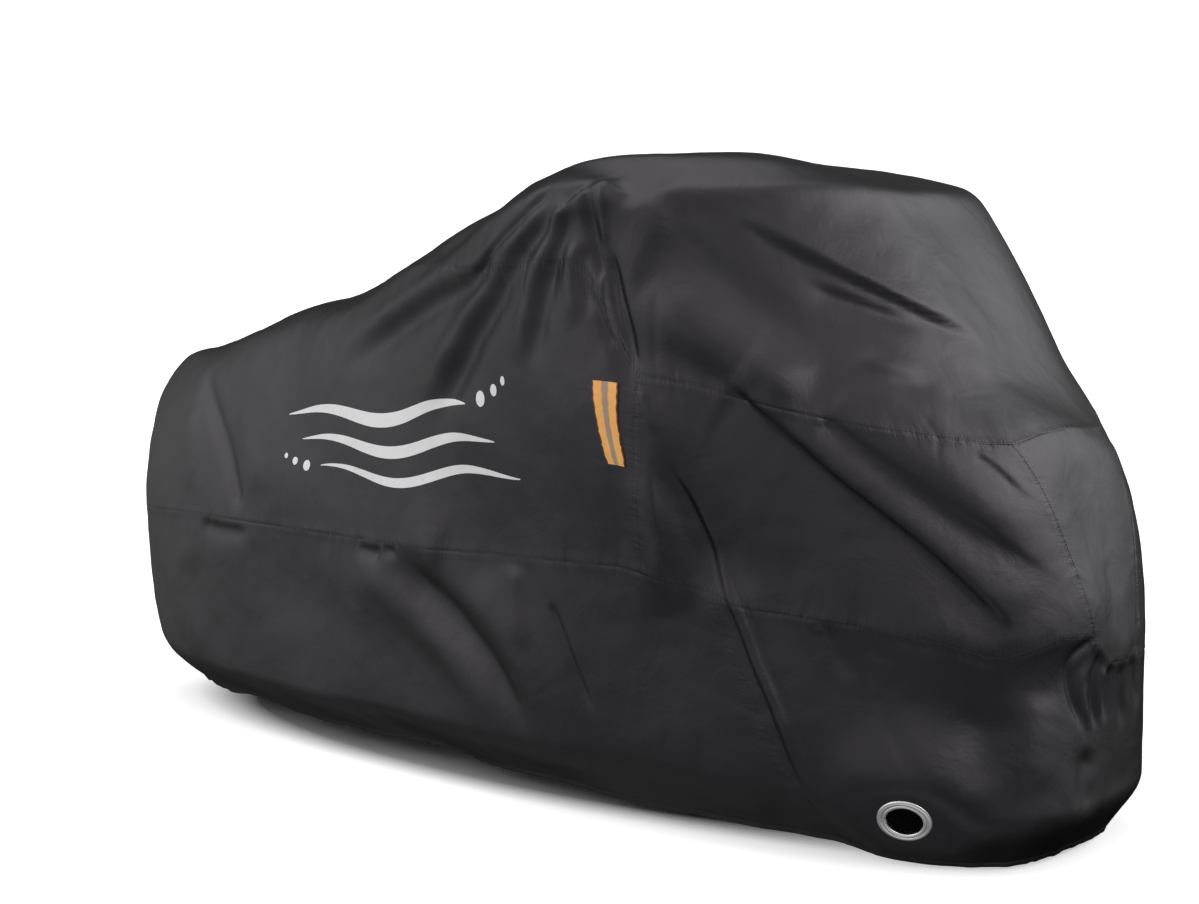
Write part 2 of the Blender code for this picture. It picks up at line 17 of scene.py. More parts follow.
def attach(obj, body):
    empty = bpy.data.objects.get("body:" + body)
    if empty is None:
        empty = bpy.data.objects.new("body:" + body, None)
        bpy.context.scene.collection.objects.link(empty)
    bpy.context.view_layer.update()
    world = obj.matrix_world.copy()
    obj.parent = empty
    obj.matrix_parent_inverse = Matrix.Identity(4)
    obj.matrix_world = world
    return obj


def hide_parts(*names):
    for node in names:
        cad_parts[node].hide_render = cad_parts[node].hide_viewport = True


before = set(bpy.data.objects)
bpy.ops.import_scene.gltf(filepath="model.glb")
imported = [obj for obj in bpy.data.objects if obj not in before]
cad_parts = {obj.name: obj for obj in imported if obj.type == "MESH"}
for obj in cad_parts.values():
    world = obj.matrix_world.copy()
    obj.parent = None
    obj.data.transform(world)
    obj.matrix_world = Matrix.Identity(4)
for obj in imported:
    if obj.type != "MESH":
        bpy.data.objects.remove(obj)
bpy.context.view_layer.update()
SCENE = bpy.context.scene


def pairs(text):
    """Rows of two numbers each."""
    return np.array(text.split(), float).reshape(-1, 2)


def read_table(text):
    """Rows of a table: a name, the numbers after its colon, and those of the lines below."""
    rows = []
    for line in text.split("\n"):
        if ":" in line:
            name, sizes = line.split(":")
            rows.append((name, [float(size) for size in sizes.split()], []))
        elif line and line[0] != "#":
            rows[-1][2].extend(float(value) for value in line.split())
    return rows


# ---------------------------------------------------------------- sizes of the draped cloth

CLOTH_THICKNESS = 0.0012
# Plan outline: half its length and width, how square its ends are, and the steps round it
HALF_LENGTH = 1.03
TYPICAL_HALF_WIDTH = 0.36
END_POWER = 3.2
OUTLINE_STEPS = 801
# Length of cloth for one turn, for the whole round, and from the hem to the ridge line
HALF_ROUND = 2.60
ROUND = 2 * HALF_ROUND
CLOTH_HEIGHT = 1.20
# How far to each side the body is read for its normals
NORMAL_STEP = 0.002

# Places along the cover at which its levels are measured: tail, rear, seat, neck, bar end,
# slope and tip
STATIONS = (-0.950, -0.620, -0.250, 0.090, 0.455, 0.700, 0.955)
# Levels of the draped body: share, its ends along the cover, then half widths and heights
Level = namedtuple("Level", "name share tail tip halves heights")
LEVELS = [Level(name, *sizes, across[:7], across[7:]) for name, sizes, across in read_table("""
hem: 0 -.925 .988
    .24 .246 .254 .264 .276 .278 .286
    .03 .036 .034 .028 .022 .017 .008
tuck: .12 -1.012 1.03
    .322 .338 .344 .352 .362 .362 .354
    .128 .12 .114 .114 .116 .11 .086
belly seam: .36 -1.03 1.03
    .35 .356 .356 .371 .402 .389 .333
    .384 .392 .384 .38 .386 .352 .297
chest: .56 -1.017 .985
    .315 .32 .33 .378 .443 .419 .354
    .578 .586 .6 .619 .64 .6 .54
shoulder: .76 -.965 .905
    .228 .24 .275 .342 .436 .405 .325
    .68 .717 .765 .856 .916 .776 .605
roof: .9 -.945 .715
    .126 .155 .19 .24 .408 .359 .225
    .682 .745 .812 .903 .96 .936 .673
ridge: 1 -.86 .55
    0 0 0 0 0 0 0
    .69 .768 .838 .93 .983 .925 .668
""")]

# The two seams that run round: the share at each turn
BELLY_SEAM = pairs("""
    0 .36  .74 .362  .78 .35  .84 .363  .88 .36  .91 .351  .945 .374  .968 .371  .99 .334
    1.06 .331  1.15 .35  1.3 .362  2 .36""")
UPPER_SEAM = pairs("""
    0 .84  .16 .84  .32 .855  .42 .86  .47 .8  .52 .735  .58 .69  .62 .676  .66 .668  .7 .664
    .712 .645  .722 .612  .738 .576  .774 .58  .821 .577  .863 .58  .9 .589  .94 .597  .965 .628
    1 .642  1.06 .644  1.16 .6  1.23 .578  1.262 .576  1.278 .612  1.288 .645  1.3 .664
    1.34 .668  1.38 .676  1.42 .69  1.48 .735  1.53 .8  1.58 .86  1.68 .855  1.84 .84  2 .84""")

# Upright lines of the mesh: turn at the hem, belly seam, upper seam and ridge, 1 where a
# seam of a skirt or of a side runs down it, and the near side's column pitch to the next
Upright = namedtuple("Upright", "name hem belly upper ridge seam pitch")
UPRIGHTS = [Upright(name, *turns) for name, turns, _ in read_table("""
tail: 0 0 0 0 0 .008
rear: .2 .2 .2 .2 0 .0062
seat: .44 .44 .44 .44 0 .005
fan: .57 .57 .58 .58 0 .0032
side seam: .705 .715 .738 .745 1 .0034
skirt seam: .822 .757 .775 .79 1 .0042
corner rear: .84 .825 .825 .83 0 .0048
corner front: .894 .884 .88 .88 0 .0045
nose seam: .975 .972 .936 .94 1 .0035
nose: 1 1 1 1 0 0
""")]
# How much coarser the mesh is on the far side, the roof and the hood
FAR_PITCH = 1.8
ROOF_PITCH = 1.6
HOOD_PITCH = 1.05
FAR_SHARE = 3
# Distances of the close lines of mesh from a seam and from the hem, and the room after them
SEAM_STEPS = (0.0016, 0.0036, 0.0066)
HEM_STEPS = (0.0040, 0.0080, 0.0112, 0.0140, 0.0168, 0.0210)
COLUMN_ROOM = 0.0033
ROW_ROOM = 0.0020
# Samples up a column, by which its rows are spaced
RISE_SAMPLES = 49
# Bands of the cover from the hem up: rows of mesh, height, close rows at foot and top, and by
# what part a length on the hood's flat top counts for less when the rows are spaced
Band = namedtuple("Band", "rows height low_steps high_steps saving")
BANDS = {"skirt": Band(72, 0.46, HEM_STEPS, SEAM_STEPS, 0.0),
         "belly": Band(80, 0.34, SEAM_STEPS, SEAM_STEPS, 0.0),
         "top": Band(78, 0.50, SEAM_STEPS, (), 0.62)}
# Share at which the flat top begins, and the run over which it does
FLAT_TOP_SHARE = 0.84
FLAT_TOP_RUN = 0.08
# Edges of a sheet that are steeper than this are drawn sharp
SHARP_ANGLE = math.radians(60)

# Eyelet in the near front lower corner: its place and facing, how deep it sits, and its hole
EYELET_TURN = 0.862
EYELET_SHARE = 0.091
EYELET_BEARING = math.radians(24)
EYELET_DROP = math.radians(32)
EYELET_SINK = 0.003
EYELET_HOLE = 0.024
EYELET_SEGMENTS = 96
# Its section, outer face first: distance outwards from the hole's edge, and height
EYELET_SECTION = ((0, -.0036), (0, .0008), (.001, .0024), (.003, .003), (.0046, .0026),
                  (.0054, .0016), (.0062, .0026), (.0092, .0028), (.0118, .0018),
                  (.013, .0002), (.012, -.0002), (.0022, -.0002), (.002, -.0032),
                  (.0096, -.003), (.0096, -.004), (.0012, -.0044))
CORNER_CUTS = 2
# Round it the cloth has its own hole, lies flat, and blends back into its folds
CLOTH_HOLE = 0.0285
FLAT_REACH = 0.043
BLEND_REACH = 0.150
FLAT_POWER = 1.5

# Reflective strip beside the upright seam: shares of its foot and top, turns of its two sides
# there, its mesh, bow, length, lift and thickness, and the fraying of its sides
STRIP_SHARES = (0.481, 0.566)
STRIP_FOOT_TURNS = (0.7092, 0.7222)
STRIP_TOP_TURNS = (0.7070, 0.7252)
STRIP_ROWS = 60
STRIP_COLUMNS = 24
STRIP_BOW = 0.0014
STRIP_LENGTH = 0.115
STRIP_LIFT = 0.0011
STRIP_THICKNESS = 0.0009
STRIP_MAP_LENGTH = 2.6
FRAY_DEPTH = 0.0004
FRAY_PITCH = 0.0055
FRAY_SEED = 71

# ---------------------------------------------------------------------------------- folds

# A fold: the reach to its left and right across its path, the height outwards (negative for a
# trough), the step by which its left side stands above its right, how crisp the line is
# (0 soft, 1 creased), the part of its length over which it starts and ends, and how much
# smaller it is at its start. The lines below these are its path of (turn, share) places
Fold = namedtuple("Fold", "name path left right height step crisp start end flare")
FOLD_TABLE = """
# pleats that fan out from the bar end
top shade: .036 .036 -.002 .008 0 .2 .4 .4
    .704 .833  .655 .773  .614 .755  .571 .74  .532 .728  .488 .736
fan band a: .036 .036 0 -.0095 0 .2 .3 .4
    .651 .701  .628 .688  .596 .678  .563 .678  .525 .672  .485 .664  .445 .647  .414 .626
fan groove: .011 .0065 -.007 0 .6 .25 .25 0
    .698 .791  .674 .738  .657 .717  .634 .699  .605 .68  .59 .674
fan band b: .042 .042 0 -.013 0 .12 .3 .5
    .689 .734  .669 .706  .65 .685  .636 .67  .616 .647  .596 .629  .58 .607  .562 .584
    .544 .556  .528 .53
fan band c: .028 .028 0 -.0085 0 .12 .3 .4
    .703 .73  .69 .701  .681 .678  .674 .661  .666 .637  .661 .617  .657 .596  .653 .577
fan band d: .018 .018 0 -.0045 0 .2 .35 0
    .703 .684  .7 .665  .699 .646  .701 .63  .703 .614
# the bar end and the gathered corner under it
bar end: .048 .048 .013 0 0 .3 .5 0
    .7178 .758  .717 .73  .716 .69
bar hollow: .02 .016 -.006 0 0 .3 .3 0
    .742 .8  .744 .78  .744 .755  .742 .725
bar trough: .011 .01 -.008 0 .3 .35 .15 0
    .724 .78  .718 .74  .7145 .7  .715 .668  .718 .648
bar ridge: .007 .006 .004 0 .8 .3 .2 0
    .738 .788  .729 .74  .7235 .705  .721 .678
corner trough: .016 .02 -.015 0 .3 .25 .45 0
    .722 .7  .7235 .655  .7255 .63  .73 .605  .7355 .582  .738 .555
corner slit: .004 .004 -.0045 0 1 .2 .4 0
    .725 .68  .727 .652  .732 .628  .735 .602  .7355 .578
corner ridge left: .006 .006 .0042 0 1 .2 .2 0
    .72 .68  .717 .642  .719 .619  .727 .596  .735 .578
corner ridge middle: .004 .004 .003 0 1 .3 .3 0
    .7235 .66  .725 .635  .727 .616  .732 .598
corner tuck: .006 .009 -.0035 0 .5 .3 .3 0
    .712 .64  .717 .612  .724 .596
hood upright: .008 .008 -.0014 0 0 .3 .3 0
    .7545 .655  .753 .637  .75 .601  .749 .588
# the near face of the hood
top edge: .03 .03 .011 0 .9 .2 .25 0
    .754 .79  .784 .813  .819 .837  .862 .855  .902 .867  .945 .875  .998 .881  1.043 .882
    1.14 .88
hood hollow: .09 .06 -.025 0 0 .5 .35 0
    .752 .709  .762 .713  .788 .723  .817 .729  .843 .721  .867 .71  .887 .698
hood band: .055 .045 .015 0 0 .35 .25 0
    .745 .661  .76 .653  .78 .644  .802 .635  .822 .617  .836 .597
hood foot: .024 .02 -.0065 0 0 .45 .3 0
    .745 .62  .76 .603  .78 .593  .801 .586  .817 .573
hood crease: .055 .04 0 .0075 .8 .35 .3 0
    .83 .824  .844 .822  .857 .818  .881 .813  .906 .809  .933 .804  .953 .801  .972 .796
hood second crease: .022 .022 0 .0045 .6 .35 .35 0
    .859 .796  .875 .798  .894 .799  .913 .799  .927 .797
hood lens: .022 .022 0 .0028 .3 .35 .35 0
    .868 .704  .879 .708  .896 .719  .916 .73
# the near side panel
side crease: .07 .05 0 .0085 .8 .12 .15 0
    .79 .592  .798 .586  .808 .572  .817 .557  .83 .533  .841 .513  .859 .486  .877 .46
    .892 .434  .905 .409  .916 .385
side second crease: .048 .032 0 .008 .3 .12 .4 .4
    .84 .588  .848 .578  .857 .56  .871 .538  .886 .514  .908 .485  .932 .453  .951 .428
side third crease: .012 .01 0 .0018 .8 .3 .3 0
    .913 .575  .919 .564  .928 .54  .94 .508
side tuck: .005 .005 .0025 0 1 .3 .4 0
    .806 .57  .817 .552  .826 .536
side second tuck: .004 .004 .002 0 1 .3 .3 0
    .8 .583  .806 .574  .812 .564
wedge: .066 .066 0 -.024 0 .35 .4 .6
    .7405 .53  .7415 .47  .7445 .42  .748 .37  .752 .33
wedge lip: .022 .032 0 .0045 .7 .35 .45 0
    .743 .52  .7505 .478  .757 .448  .762 .42  .767 .384  .772 .35
wedge edge: .006 .012 .0035 0 .7 .3 .35 0
    .738 .52  .7365 .47  .7355 .425  .735 .385  .7345 .35
seam side light: .007 .007 .003 0 .8 .3 .4 0
    .738 .566  .741 .545  .747 .516
nose brow: .11 .05 .014 0 .2 .3 .35 0
    .775 .372  .82 .374  .86 .376  .9 .37  .93 .384  .96 .386  .99 .366  1.03 .356  1.06 .352
# the pinched ridge that runs on down the skirt
pinched ridge: .01 .009 .0065 0 .6 .35 .25 0
    .75 .48  .756 .45  .761 .424  .766 .386  .772 .357  .778 .327  .784 .29  .793 .243  .801 .191
    .808 .131  .811 .101
ridge front line: .007 .006 -.004 0 .6 .25 .35 0
    .764 .43  .772 .386  .778 .357  .784 .327  .79 .29  .799 .243  .807 .191  .813 .141
ridge rear line: .006 .008 -.004 0 .6 .25 .25 0
    .76 .386  .766 .357  .772 .327  .778 .29  .787 .243  .795 .191  .803 .131  .808 .085
skirt corner swell: .024 .02 0 .0012 0 .3 .3 0
    .836 .366  .859 .356  .883 .361  .901 .348  .914 .34
skirt hollow a: .013 .011 -.0055 0 0 .2 .5 0
    .819 .357  .824 .337  .829 .312  .838 .285
skirt hollow b: .01 .008 -.0015 0 0 .3 .3 0
    .84 .341  .848 .334  .858 .327
skirt corner light: .024 .024 .0012 0 0 .3 .4 0
    .842 .3  .855 .27  .866 .22
eyelet pull: .012 .01 -.005 .0025 .2 .25 .1 0
    .852 .266  .858 .241  .865 .213  .871 .179  .876 .146  .884 .088  .889 .025
front light: .034 .034 .004 0 0 .3 .3 0
    .94 .31  .936 .27  .934 .215  .932 .14
front shade: .034 .034 -.003 0 0 .3 .4 0
    .905 .3  .9 .23  .902 .15
# gathers at the foot of the nose seam
nose gather a: .007 .007 -.005 0 .4 .15 .35 0
    .976 .372  .962 .362  .953 .34  .957 .302  .967 .26  .974 .228
nose tongue a: .008 .008 .004 0 .3 .3 .35 0
    .974 .35  .966 .315  .972 .27  .979 .235
nose gather b: .007 .007 -.005 0 .4 .15 .35 0
    .98 .355  .977 .315  .98 .27  .985 .235
nose tongue b: .007 .007 .004 0 .4 .2 .5 0
    .986 .335  .985 .29  .989 .24
nose gather c: .007 .007 -.005 0 .4 .15 .45 0
    .994 .332  .993 .285  .997 .235
nose gather d: .009 .008 -.0045 0 .4 .15 .45 0
    1.006 .33  1.011 .273  1.018 .222
nose gather e: .009 .009 -.004 0 .4 .15 .5 0
    1.022 .335  1.03 .285  1.04 .245
corner shade: .022 .022 -.005 0 0 .3 .3 0
    .976 .219  .972 .164  .983 .081
nose trough: .045 .055 -.004 0 0 .3 .3 0
    .968 .56  .985 .48  1 .4  1.01 .345
# the belly and the skirt round the rear
skirt slope: .06 .042 -.003 .012 0 .15 .4 0
    .492 .365  .539 .314  .568 .275  .597 .222  .612 .171  .62 .105
skirt swell: .035 .04 .0088 0 0 .25 .4 0
    .438 .327  .466 .312  .506 .277  .543 .229  .577 .178  .608 .12
skirt hollow: .04 .04 -.0078 0 0 .25 .45 0
    .535 .365  .564 .336  .59 .3
skirt lens: .02 .024 .0063 0 0 .2 .4 0
    .612 .355  .61 .32  .615 .277  .622 .24
skirt crease: .012 .008 -.004 .002 .3 .25 .35 0
    .643 .312  .646 .299  .654 .259  .66 .221  .665 .192  .668 .172
skirt trough: .06 .06 -.006 0 0 .3 .3 0
    .3 .32  .38 .27  .47 .21  .56 .15
rear line: .018 .018 -.0084 0 .2 .3 .15 0
    .206 .66  .24 .589  .293 .451  .314 .375
rear swell left: .03 .035 .006 0 0 .3 .3 0
    .215 .58  .23 .48  .24 .385
rear swell right: .035 .03 .006 0 0 .3 .3 0
    .287 .577  .318 .479  .34 .39
rear dent: .01 .018 -.006 0 0 .2 .2 0
    .255 .345  .285 .342  .326 .342
belly dent a: .007 .014 -.006 0 0 .25 .25 0
    .452 .348  .467 .346  .482 .348
belly dent b: .006 .01 -.0045 0 0 .3 .3 0
    .482 .352  .49 .351  .498 .352
belly hang: .06 .06 -.005 0 0 .3 .3 0
    .33 .64  .37 .54  .42 .45
belly swell: .07 .07 .004 0 0 .3 .3 0
    .56 .56  .6 .5  .64 .44
rear skirt hollow: .05 .05 -.006 0 0 .3 .3 0
    .23 .3  .25 .22  .29 .13
rear skirt crease: .03 .04 -.006 .002 0 .3 .3 0
    .12 .33  .1 .24  .09 .14
# the far side, which hangs from the other bar end in the same way
far fan band a: .018 .04 -.006 -.012 0 .2 .35 0
    1.302 .77  1.34 .722  1.385 .69  1.44 .675  1.5 .66  1.565 .635
far fan band b: .018 .038 -.006 -.012 0 .2 .35 0
    1.296 .75  1.325 .705  1.36 .66  1.4 .615  1.44 .55  1.465 .5
far fan band c: .014 .03 -.0056 -.0091 0 .2 .35 0
    1.29 .735  1.308 .69  1.325 .64  1.342 .585  1.356 .53
far bar end: .036 .036 .007 0 0 .3 .3 0
    1.284 .845  1.278 .815  1.276 .785  1.276 .755
far bar trough: .014 .014 -.009 0 .3 .3 .2 0
    1.278 .77  1.283 .71  1.281 .655  1.268 .595
far hood hollow: .06 .09 -.018 0 0 .35 .35 0
    1.248 .709  1.212 .723  1.183 .729  1.15 .721
far hood crease: .04 .055 0 -.006 .6 .3 .3 0
    1.19 .816  1.16 .818  1.13 .812
far hood band: .045 .05 .0135 0 0 .25 .3 0
    1.255 .7  1.22 .692  1.18 .672  1.14 .63
far side crease: .015 .042 -.0042 -.0112 0 .15 .2 0
    1.215 .585  1.19 .545  1.16 .485  1.12 .425  1.08 .385
far side second crease: .018 .034 -.0028 -.0084 0 .2 .3 0
    1.17 .588  1.14 .556  1.105 .5  1.07 .455
far skirt slope: .042 .06 -.0042 -.0098 0 .2 .4 0
    1.47 .362  1.44 .3  1.42 .22  1.41 .13
far skirt swell: .04 .04 .0077 0 0 .25 .4 0
    1.54 .33  1.49 .27  1.46 .19  1.45 .11
far belly hang: .06 .06 -.006 0 0 .3 .3 0
    1.66 .64  1.62 .54  1.59 .45
far pinched ridge: .016 .018 .008 0 .6 .35 .3 0
    1.252 .5  1.24 .424  1.228 .357  1.216 .29  1.199 .191  1.189 .101
far rear line: .02 .02 -.006 0 .2 .3 .2 0
    1.79 .65  1.75 .56  1.715 .46  1.7 .38
"""
FOLDS = [Fold(name, path, *sizes) for name, sizes, path in read_table(FOLD_TABLE)]
# How a fold falls off across its path: rounding of a crease at its line, how fast a crease
# and a step fall, the scale of a soft step, the run of a sharp one, and how many reaches off
# a fold is left out
CRISP_SOFTENING = 0.35
CREASE_FALL = 1.4
STEP_FALL = 1.3
STEP_FALL_POWER = 1.5
STEP_PEAK = 2.33
STEP_FACE = 0.0042
FOLD_REACHES = 3.0
PATH_STEPS = 4
RIDGE_FADE = 0.05

# Long waves over the whole cover: their number round it and up it, depth and phase
WAVES = ((7.0, 1.3, 0.0030, 0.4), (11.0, -2.1, 0.0022, 1.9), (17.0, 3.2, 0.0014, 4.1))
# Crumples all over: depth, size and seed, and how far a seed moves the noise
CRUMPLES = ((0.0016, 0.085, 1), (0.0007, 0.034, 2))
SEED_SHIFT = Vector((3.1, 7.7, 1.3))

# Seams: how deep the cloth dips at the edge, how far out it swells beside it, and how the
# thread's pull varies
SEAM_DIP = 0.0007
SEAM_DIP_REACH = 0.0022
SEAM_ROLL = 0.0004
SEAM_ROLL_AWAY = 0.0060
SEAM_ROLL_REACH = 0.0040
SEAM_PULL = 0.45
SEAM_PULL_SPREAD = 0.55
SEAM_PULL_PITCH = 0.060
BELLY_SEED = 41
UPPER_SEED = 51
UPRIGHT_SEED = 61

# Puckers: (turn, depth) along the two seams that run round, and one depth for the others
BELLY_PUCKERS = pairs("""
    0 .0008  .1 .001  .24 .0014  .34 .0008  .4 .0022  .5 .0022  .56 .0009  .72 .0012  .8 .0012
    .84 .002  .9 .0008  .96 .002  1.03 .0024  1.08 .001  2 .0008""")
UPPER_PUCKERS = pairs("""
    0 .0008  .5 .001  .58 .0018  .7 .0022  .735 .0012  .76 .0018  .8 .0008  .86 .001  .89 .002
    .94 .0018  1.06 .0018  1.12 .0008  1.3 .0018  1.45 .001  2 .0008""")
UPRIGHT_PUCKER = 0.0009
# Their least reach from the seam and its spread, their greatest lean, the pitches at which
# the reach, the lean, the fine and the wide ones change, and how narrow they are
PUCKER_REACH = 0.010
PUCKER_REACH_SPREAD = 0.012
PUCKER_LEAN = 0.5
REACH_PITCH = 0.045
LEAN_PITCH = 0.14
FINE_PITCH = 0.011
WIDE_PITCH = 0.030
PUCKER_POWER = 1.4
# The wide ones beside the fine: reach, depth, and height of the swells between them
WIDE_REACHES = 2.5
WIDE_DEPTH = 1.2
SWELL_HEIGHT = 0.5
# How far from its seam the cloth shows fine gathers
DRAWN_REACH = 0.0090

# The hem's casing: height of its stitching above the edge, and how deep and how far to each
# side the cloth is drawn in there
HEM_STITCH_UP = 0.0140
HEM_STITCH_DEPTH = 0.0010
HEM_STITCH_REACH = 0.0026

# Stitches: pitch and size, how far they stand out and how far the rows run from their seam;
# then the close places along a round seam, the hem and an upright seam, whose ends stay free
STITCH_PITCH = 0.0045
STITCH_LENGTH = 0.0038
STITCH_WIDTH = 0.0007
STITCH_LIFT = 0.0001
STITCH_AWAY = 0.0045
STITCH_WAY_STEP = 0.3 * STITCH_PITCH
SEAM_PLACES = 2401
HEM_PLACES = 1801
UPRIGHT_PLACES = 160
UPRIGHT_END = 0.012

# Gathers of the elastic hem: (turn, depth), height they reach, pitches and lean
HEM_GATHERS = pairs("""
    0 .0016  .18 .0014  .28 .0009  .4 .0005  .78 .0005  .86 .0009  1 .0013  1.14 .001  1.3 .0008
    1.7 .001  1.84 .0018  2 .0016""")
HEM_REACH = 0.045
GATHER_PITCH = 0.017
GATHER_LEAN = 0.15
WIDE_GATHER_PITCH = 0.041
WIDE_GATHER = 0.5
GATHER_SEEDS = (31, 32)


def smooth(knots, values, at):
    """Read a monotone cubic through the values at each place in at."""
    knots = np.asarray(knots, float)
    values = np.asarray(values, float)
    if values.ndim == 1:
        values = values[:, None] * np.ones(at.shape)
    step = np.diff(knots)[:, None]
    rise = np.diff(values, axis=0) / step
    before = 2 * step[1:] + step[:-1]
    after = step[1:] + 2 * step[:-1]
    same_way = rise[:-1] * rise[1:] > 0
    lower = np.where(same_way, rise[:-1], 1.0)
    upper = np.where(same_way, rise[1:], 1.0)
    slope = np.zeros_like(values)
    slope[0] = rise[0]
    slope[-1] = rise[-1]
    slope[1:-1] = np.where(same_way, (before + after) / (before / lower + after / upper), 0.0)
    cell = np.clip(np.searchsorted(knots, at) - 1, 0, len(knots) - 2)
    width = knots[cell + 1] - knots[cell]
    f = np.clip((at - knots[cell]) / width, 0.0, 1.0)
    n = np.arange(at.size)
    return (values[cell, n] * (1 + 2 * f) * (1 - f) ** 2
            + values[cell + 1, n] * f * f * (3 - 2 * f)
            + slope[cell, n] * width * f * (1 - f) ** 2
            + slope[cell + 1, n] * width * f * f * (f - 1))


def step_up(x):
    """Ease from 0 to 1."""
    x = np.clip(x, 0.0, 1.0)
    return x * x * (3 - 2 * x)


def between(low, high, f):
    """The value at a fraction of the way from low to high."""
    return low + (high - low) * f


def unit(vectors):
    """The same directions, one long."""
    size = np.linalg.norm(vectors, axis=-1, keepdims=True)
    return vectors / np.maximum(size, 1e-12)


def plan_outline():
    """Even steps along half of the plan outline: turn, place along and place across."""
    angle = np.linspace(0.0, math.pi, OUTLINE_STEPS)
    along = -np.sign(np.cos(angle)) * np.abs(np.cos(angle)) ** (2 / END_POWER)
    across = np.abs(np.sin(angle)) ** (2 / END_POWER)
    run = np.hypot(np.diff(along) * HALF_LENGTH, np.diff(across) * TYPICAL_HALF_WIDTH)
    length = np.concatenate(([0.0], np.cumsum(run)))
    return length / length[-1], along, across


OUTLINE = plan_outline()


def body(turn, share):
    """Points of the draped body without its folds."""
    turn = np.mod(turn, 2.0)
    side = np.where(turn <= 1.0, -1.0, 1.0)
    near = np.where(turn <= 1.0, turn, 2.0 - turn)
    along = np.interp(near, OUTLINE[0], OUTLINE[1])
    across = np.interp(near, OUTLINE[0], OUTLINE[2])
    rings = []
    for level in LEVELS:
        x = level.tail + (level.tip - level.tail) * (along + 1) / 2
        y = side * across * smooth(STATIONS, level.halves, x)
        rings.append((x, y, smooth(STATIONS, level.heights, x)))
    rings = np.array(rings)
    shares = [level.share for level in LEVELS]
    return np.stack([smooth(shares, rings[:, axis], share) for axis in range(3)], axis=-1)


def body_normals(turn, share):
    """Outward normals of the draped body."""
    low = np.clip(share - NORMAL_STEP, 0.0, 1.0)
    high = np.clip(share + NORMAL_STEP, 0.0, 1.0)
    around = body(turn + NORMAL_STEP, share) - body(turn - NORMAL_STEP, share)
    upward = body(turn, high) - body(turn, low)
    return unit(np.cross(around, upward))


def path_points(path):
    """The path of a fold as a close run of points on the body."""
    path = np.reshape(path, (-1, 2))
    knots = np.arange(len(path))
    at = np.linspace(0, len(path) - 1, PATH_STEPS * (len(path) - 1) + 1)
    return body(smooth(knots, path[:, 0], at), smooth(knots, path[:, 1], at))


def fold_relief(fold, points, normals):
    """Height that one fold adds at each point."""
    line = path_points(fold.path)
    margin = FOLD_REACHES * max(fold.left, fold.right)
    close = np.all((points > line.min(0) - margin) & (points < line.max(0) + margin), axis=1)
    relief = np.zeros(len(points))
    points = points[close]
    normals = normals[close]
    run = np.diff(line, axis=0)
    best = np.full(len(points), 1e9)
    offset = np.zeros(len(points))
    place = np.zeros(len(points))
    for i in range(len(run)):
        away = points - line[i]
        f = np.clip(away @ run[i] / (run[i] @ run[i]), 0.0, 1.0)
        away = away - f[:, None] * run[i]
        distance = np.linalg.norm(away, axis=1)
        sign = np.sign(np.einsum("ij,ij->i", np.cross(normals, run[i]), away))
        closer = distance < best
        best = np.where(closer, distance, best)
        offset = np.where(closer, sign * distance, offset)
        place = np.where(closer, (i + f) / len(run), place)
    grown = 1.0 - fold.flare * (1.0 - place)
    across = offset / (grown * np.where(offset > 0, fold.left, fold.right))
    soft = np.exp(-across ** 2)
    creased = np.exp(-CREASE_FALL
                     * (np.sqrt(across ** 2 + CRISP_SOFTENING ** 2) - CRISP_SOFTENING))
    rounded_step = STEP_PEAK * across * soft
    sharp_step = (np.tanh(offset / STEP_FACE)
                  * np.exp(-STEP_FALL * np.abs(across) ** STEP_FALL_POWER))
    shape = (fold.height * (soft + (creased - soft) * fold.crisp)
             + fold.step * (rounded_step + (sharp_step - rounded_step) * fold.crisp))
    relief[close] = (grown * shape * step_up(place / fold.start)
                     * step_up((1 - place) / fold.end))
    return relief


def lumps(along, pitch, seed):
    """Uneven soft swells round the cover, from -1 to 1 and about a pitch apart."""
    draw = np.random.default_rng(seed)
    count = round(ROUND / pitch)
    steps = draw.uniform(0.5, 1.5, count)
    knots = np.concatenate(([0.0], np.cumsum(steps))) * ROUND / steps.sum()
    values = draw.uniform(-1.0, 1.0, count + 1)
    values[-1] = values[0]
    place = np.mod(along, ROUND)
    cell = np.clip(np.searchsorted(knots, place) - 1, 0, count - 1)
    f = step_up((place - knots[cell]) / (knots[cell + 1] - knots[cell]))
    return between(values[cell], values[cell + 1], f)


def puckers(along, away, depth, seed):
    """Short troughs that run off a seam, where the thread has drawn the cloth together."""
    reach = PUCKER_REACH + PUCKER_REACH_SPREAD * (1 + lumps(along, REACH_PITCH, seed))
    place = along + PUCKER_LEAN * lumps(along, LEAN_PITCH, seed + 1) * away
    fine = np.maximum(lumps(place, FINE_PITCH, seed + 2), 0.0) ** PUCKER_POWER
    wide_lumps = lumps(place, WIDE_PITCH, seed + 3)
    wide = np.maximum(wide_lumps, 0.0) ** PUCKER_POWER
    swell = np.maximum(-wide_lumps, 0.0)
    wide_fall = np.exp(-away / (WIDE_REACHES * reach))
    return depth * (SWELL_HEIGHT * swell * wide_fall - fine * np.exp(-away / reach)
                    - WIDE_DEPTH * wide * wide_fall)


def seam_line(away, along, seed):
    """The dip at the edge of a piece and the swell of the turned-in cloth beside it."""
    tight = SEAM_PULL + SEAM_PULL_SPREAD * lumps(along, SEAM_PULL_PITCH, seed)
    return (SEAM_ROLL * np.exp(-((away - SEAM_ROLL_AWAY) / SEAM_ROLL_REACH) ** 2)
            - tight * SEAM_DIP * np.exp(-(away / SEAM_DIP_REACH) ** 2))


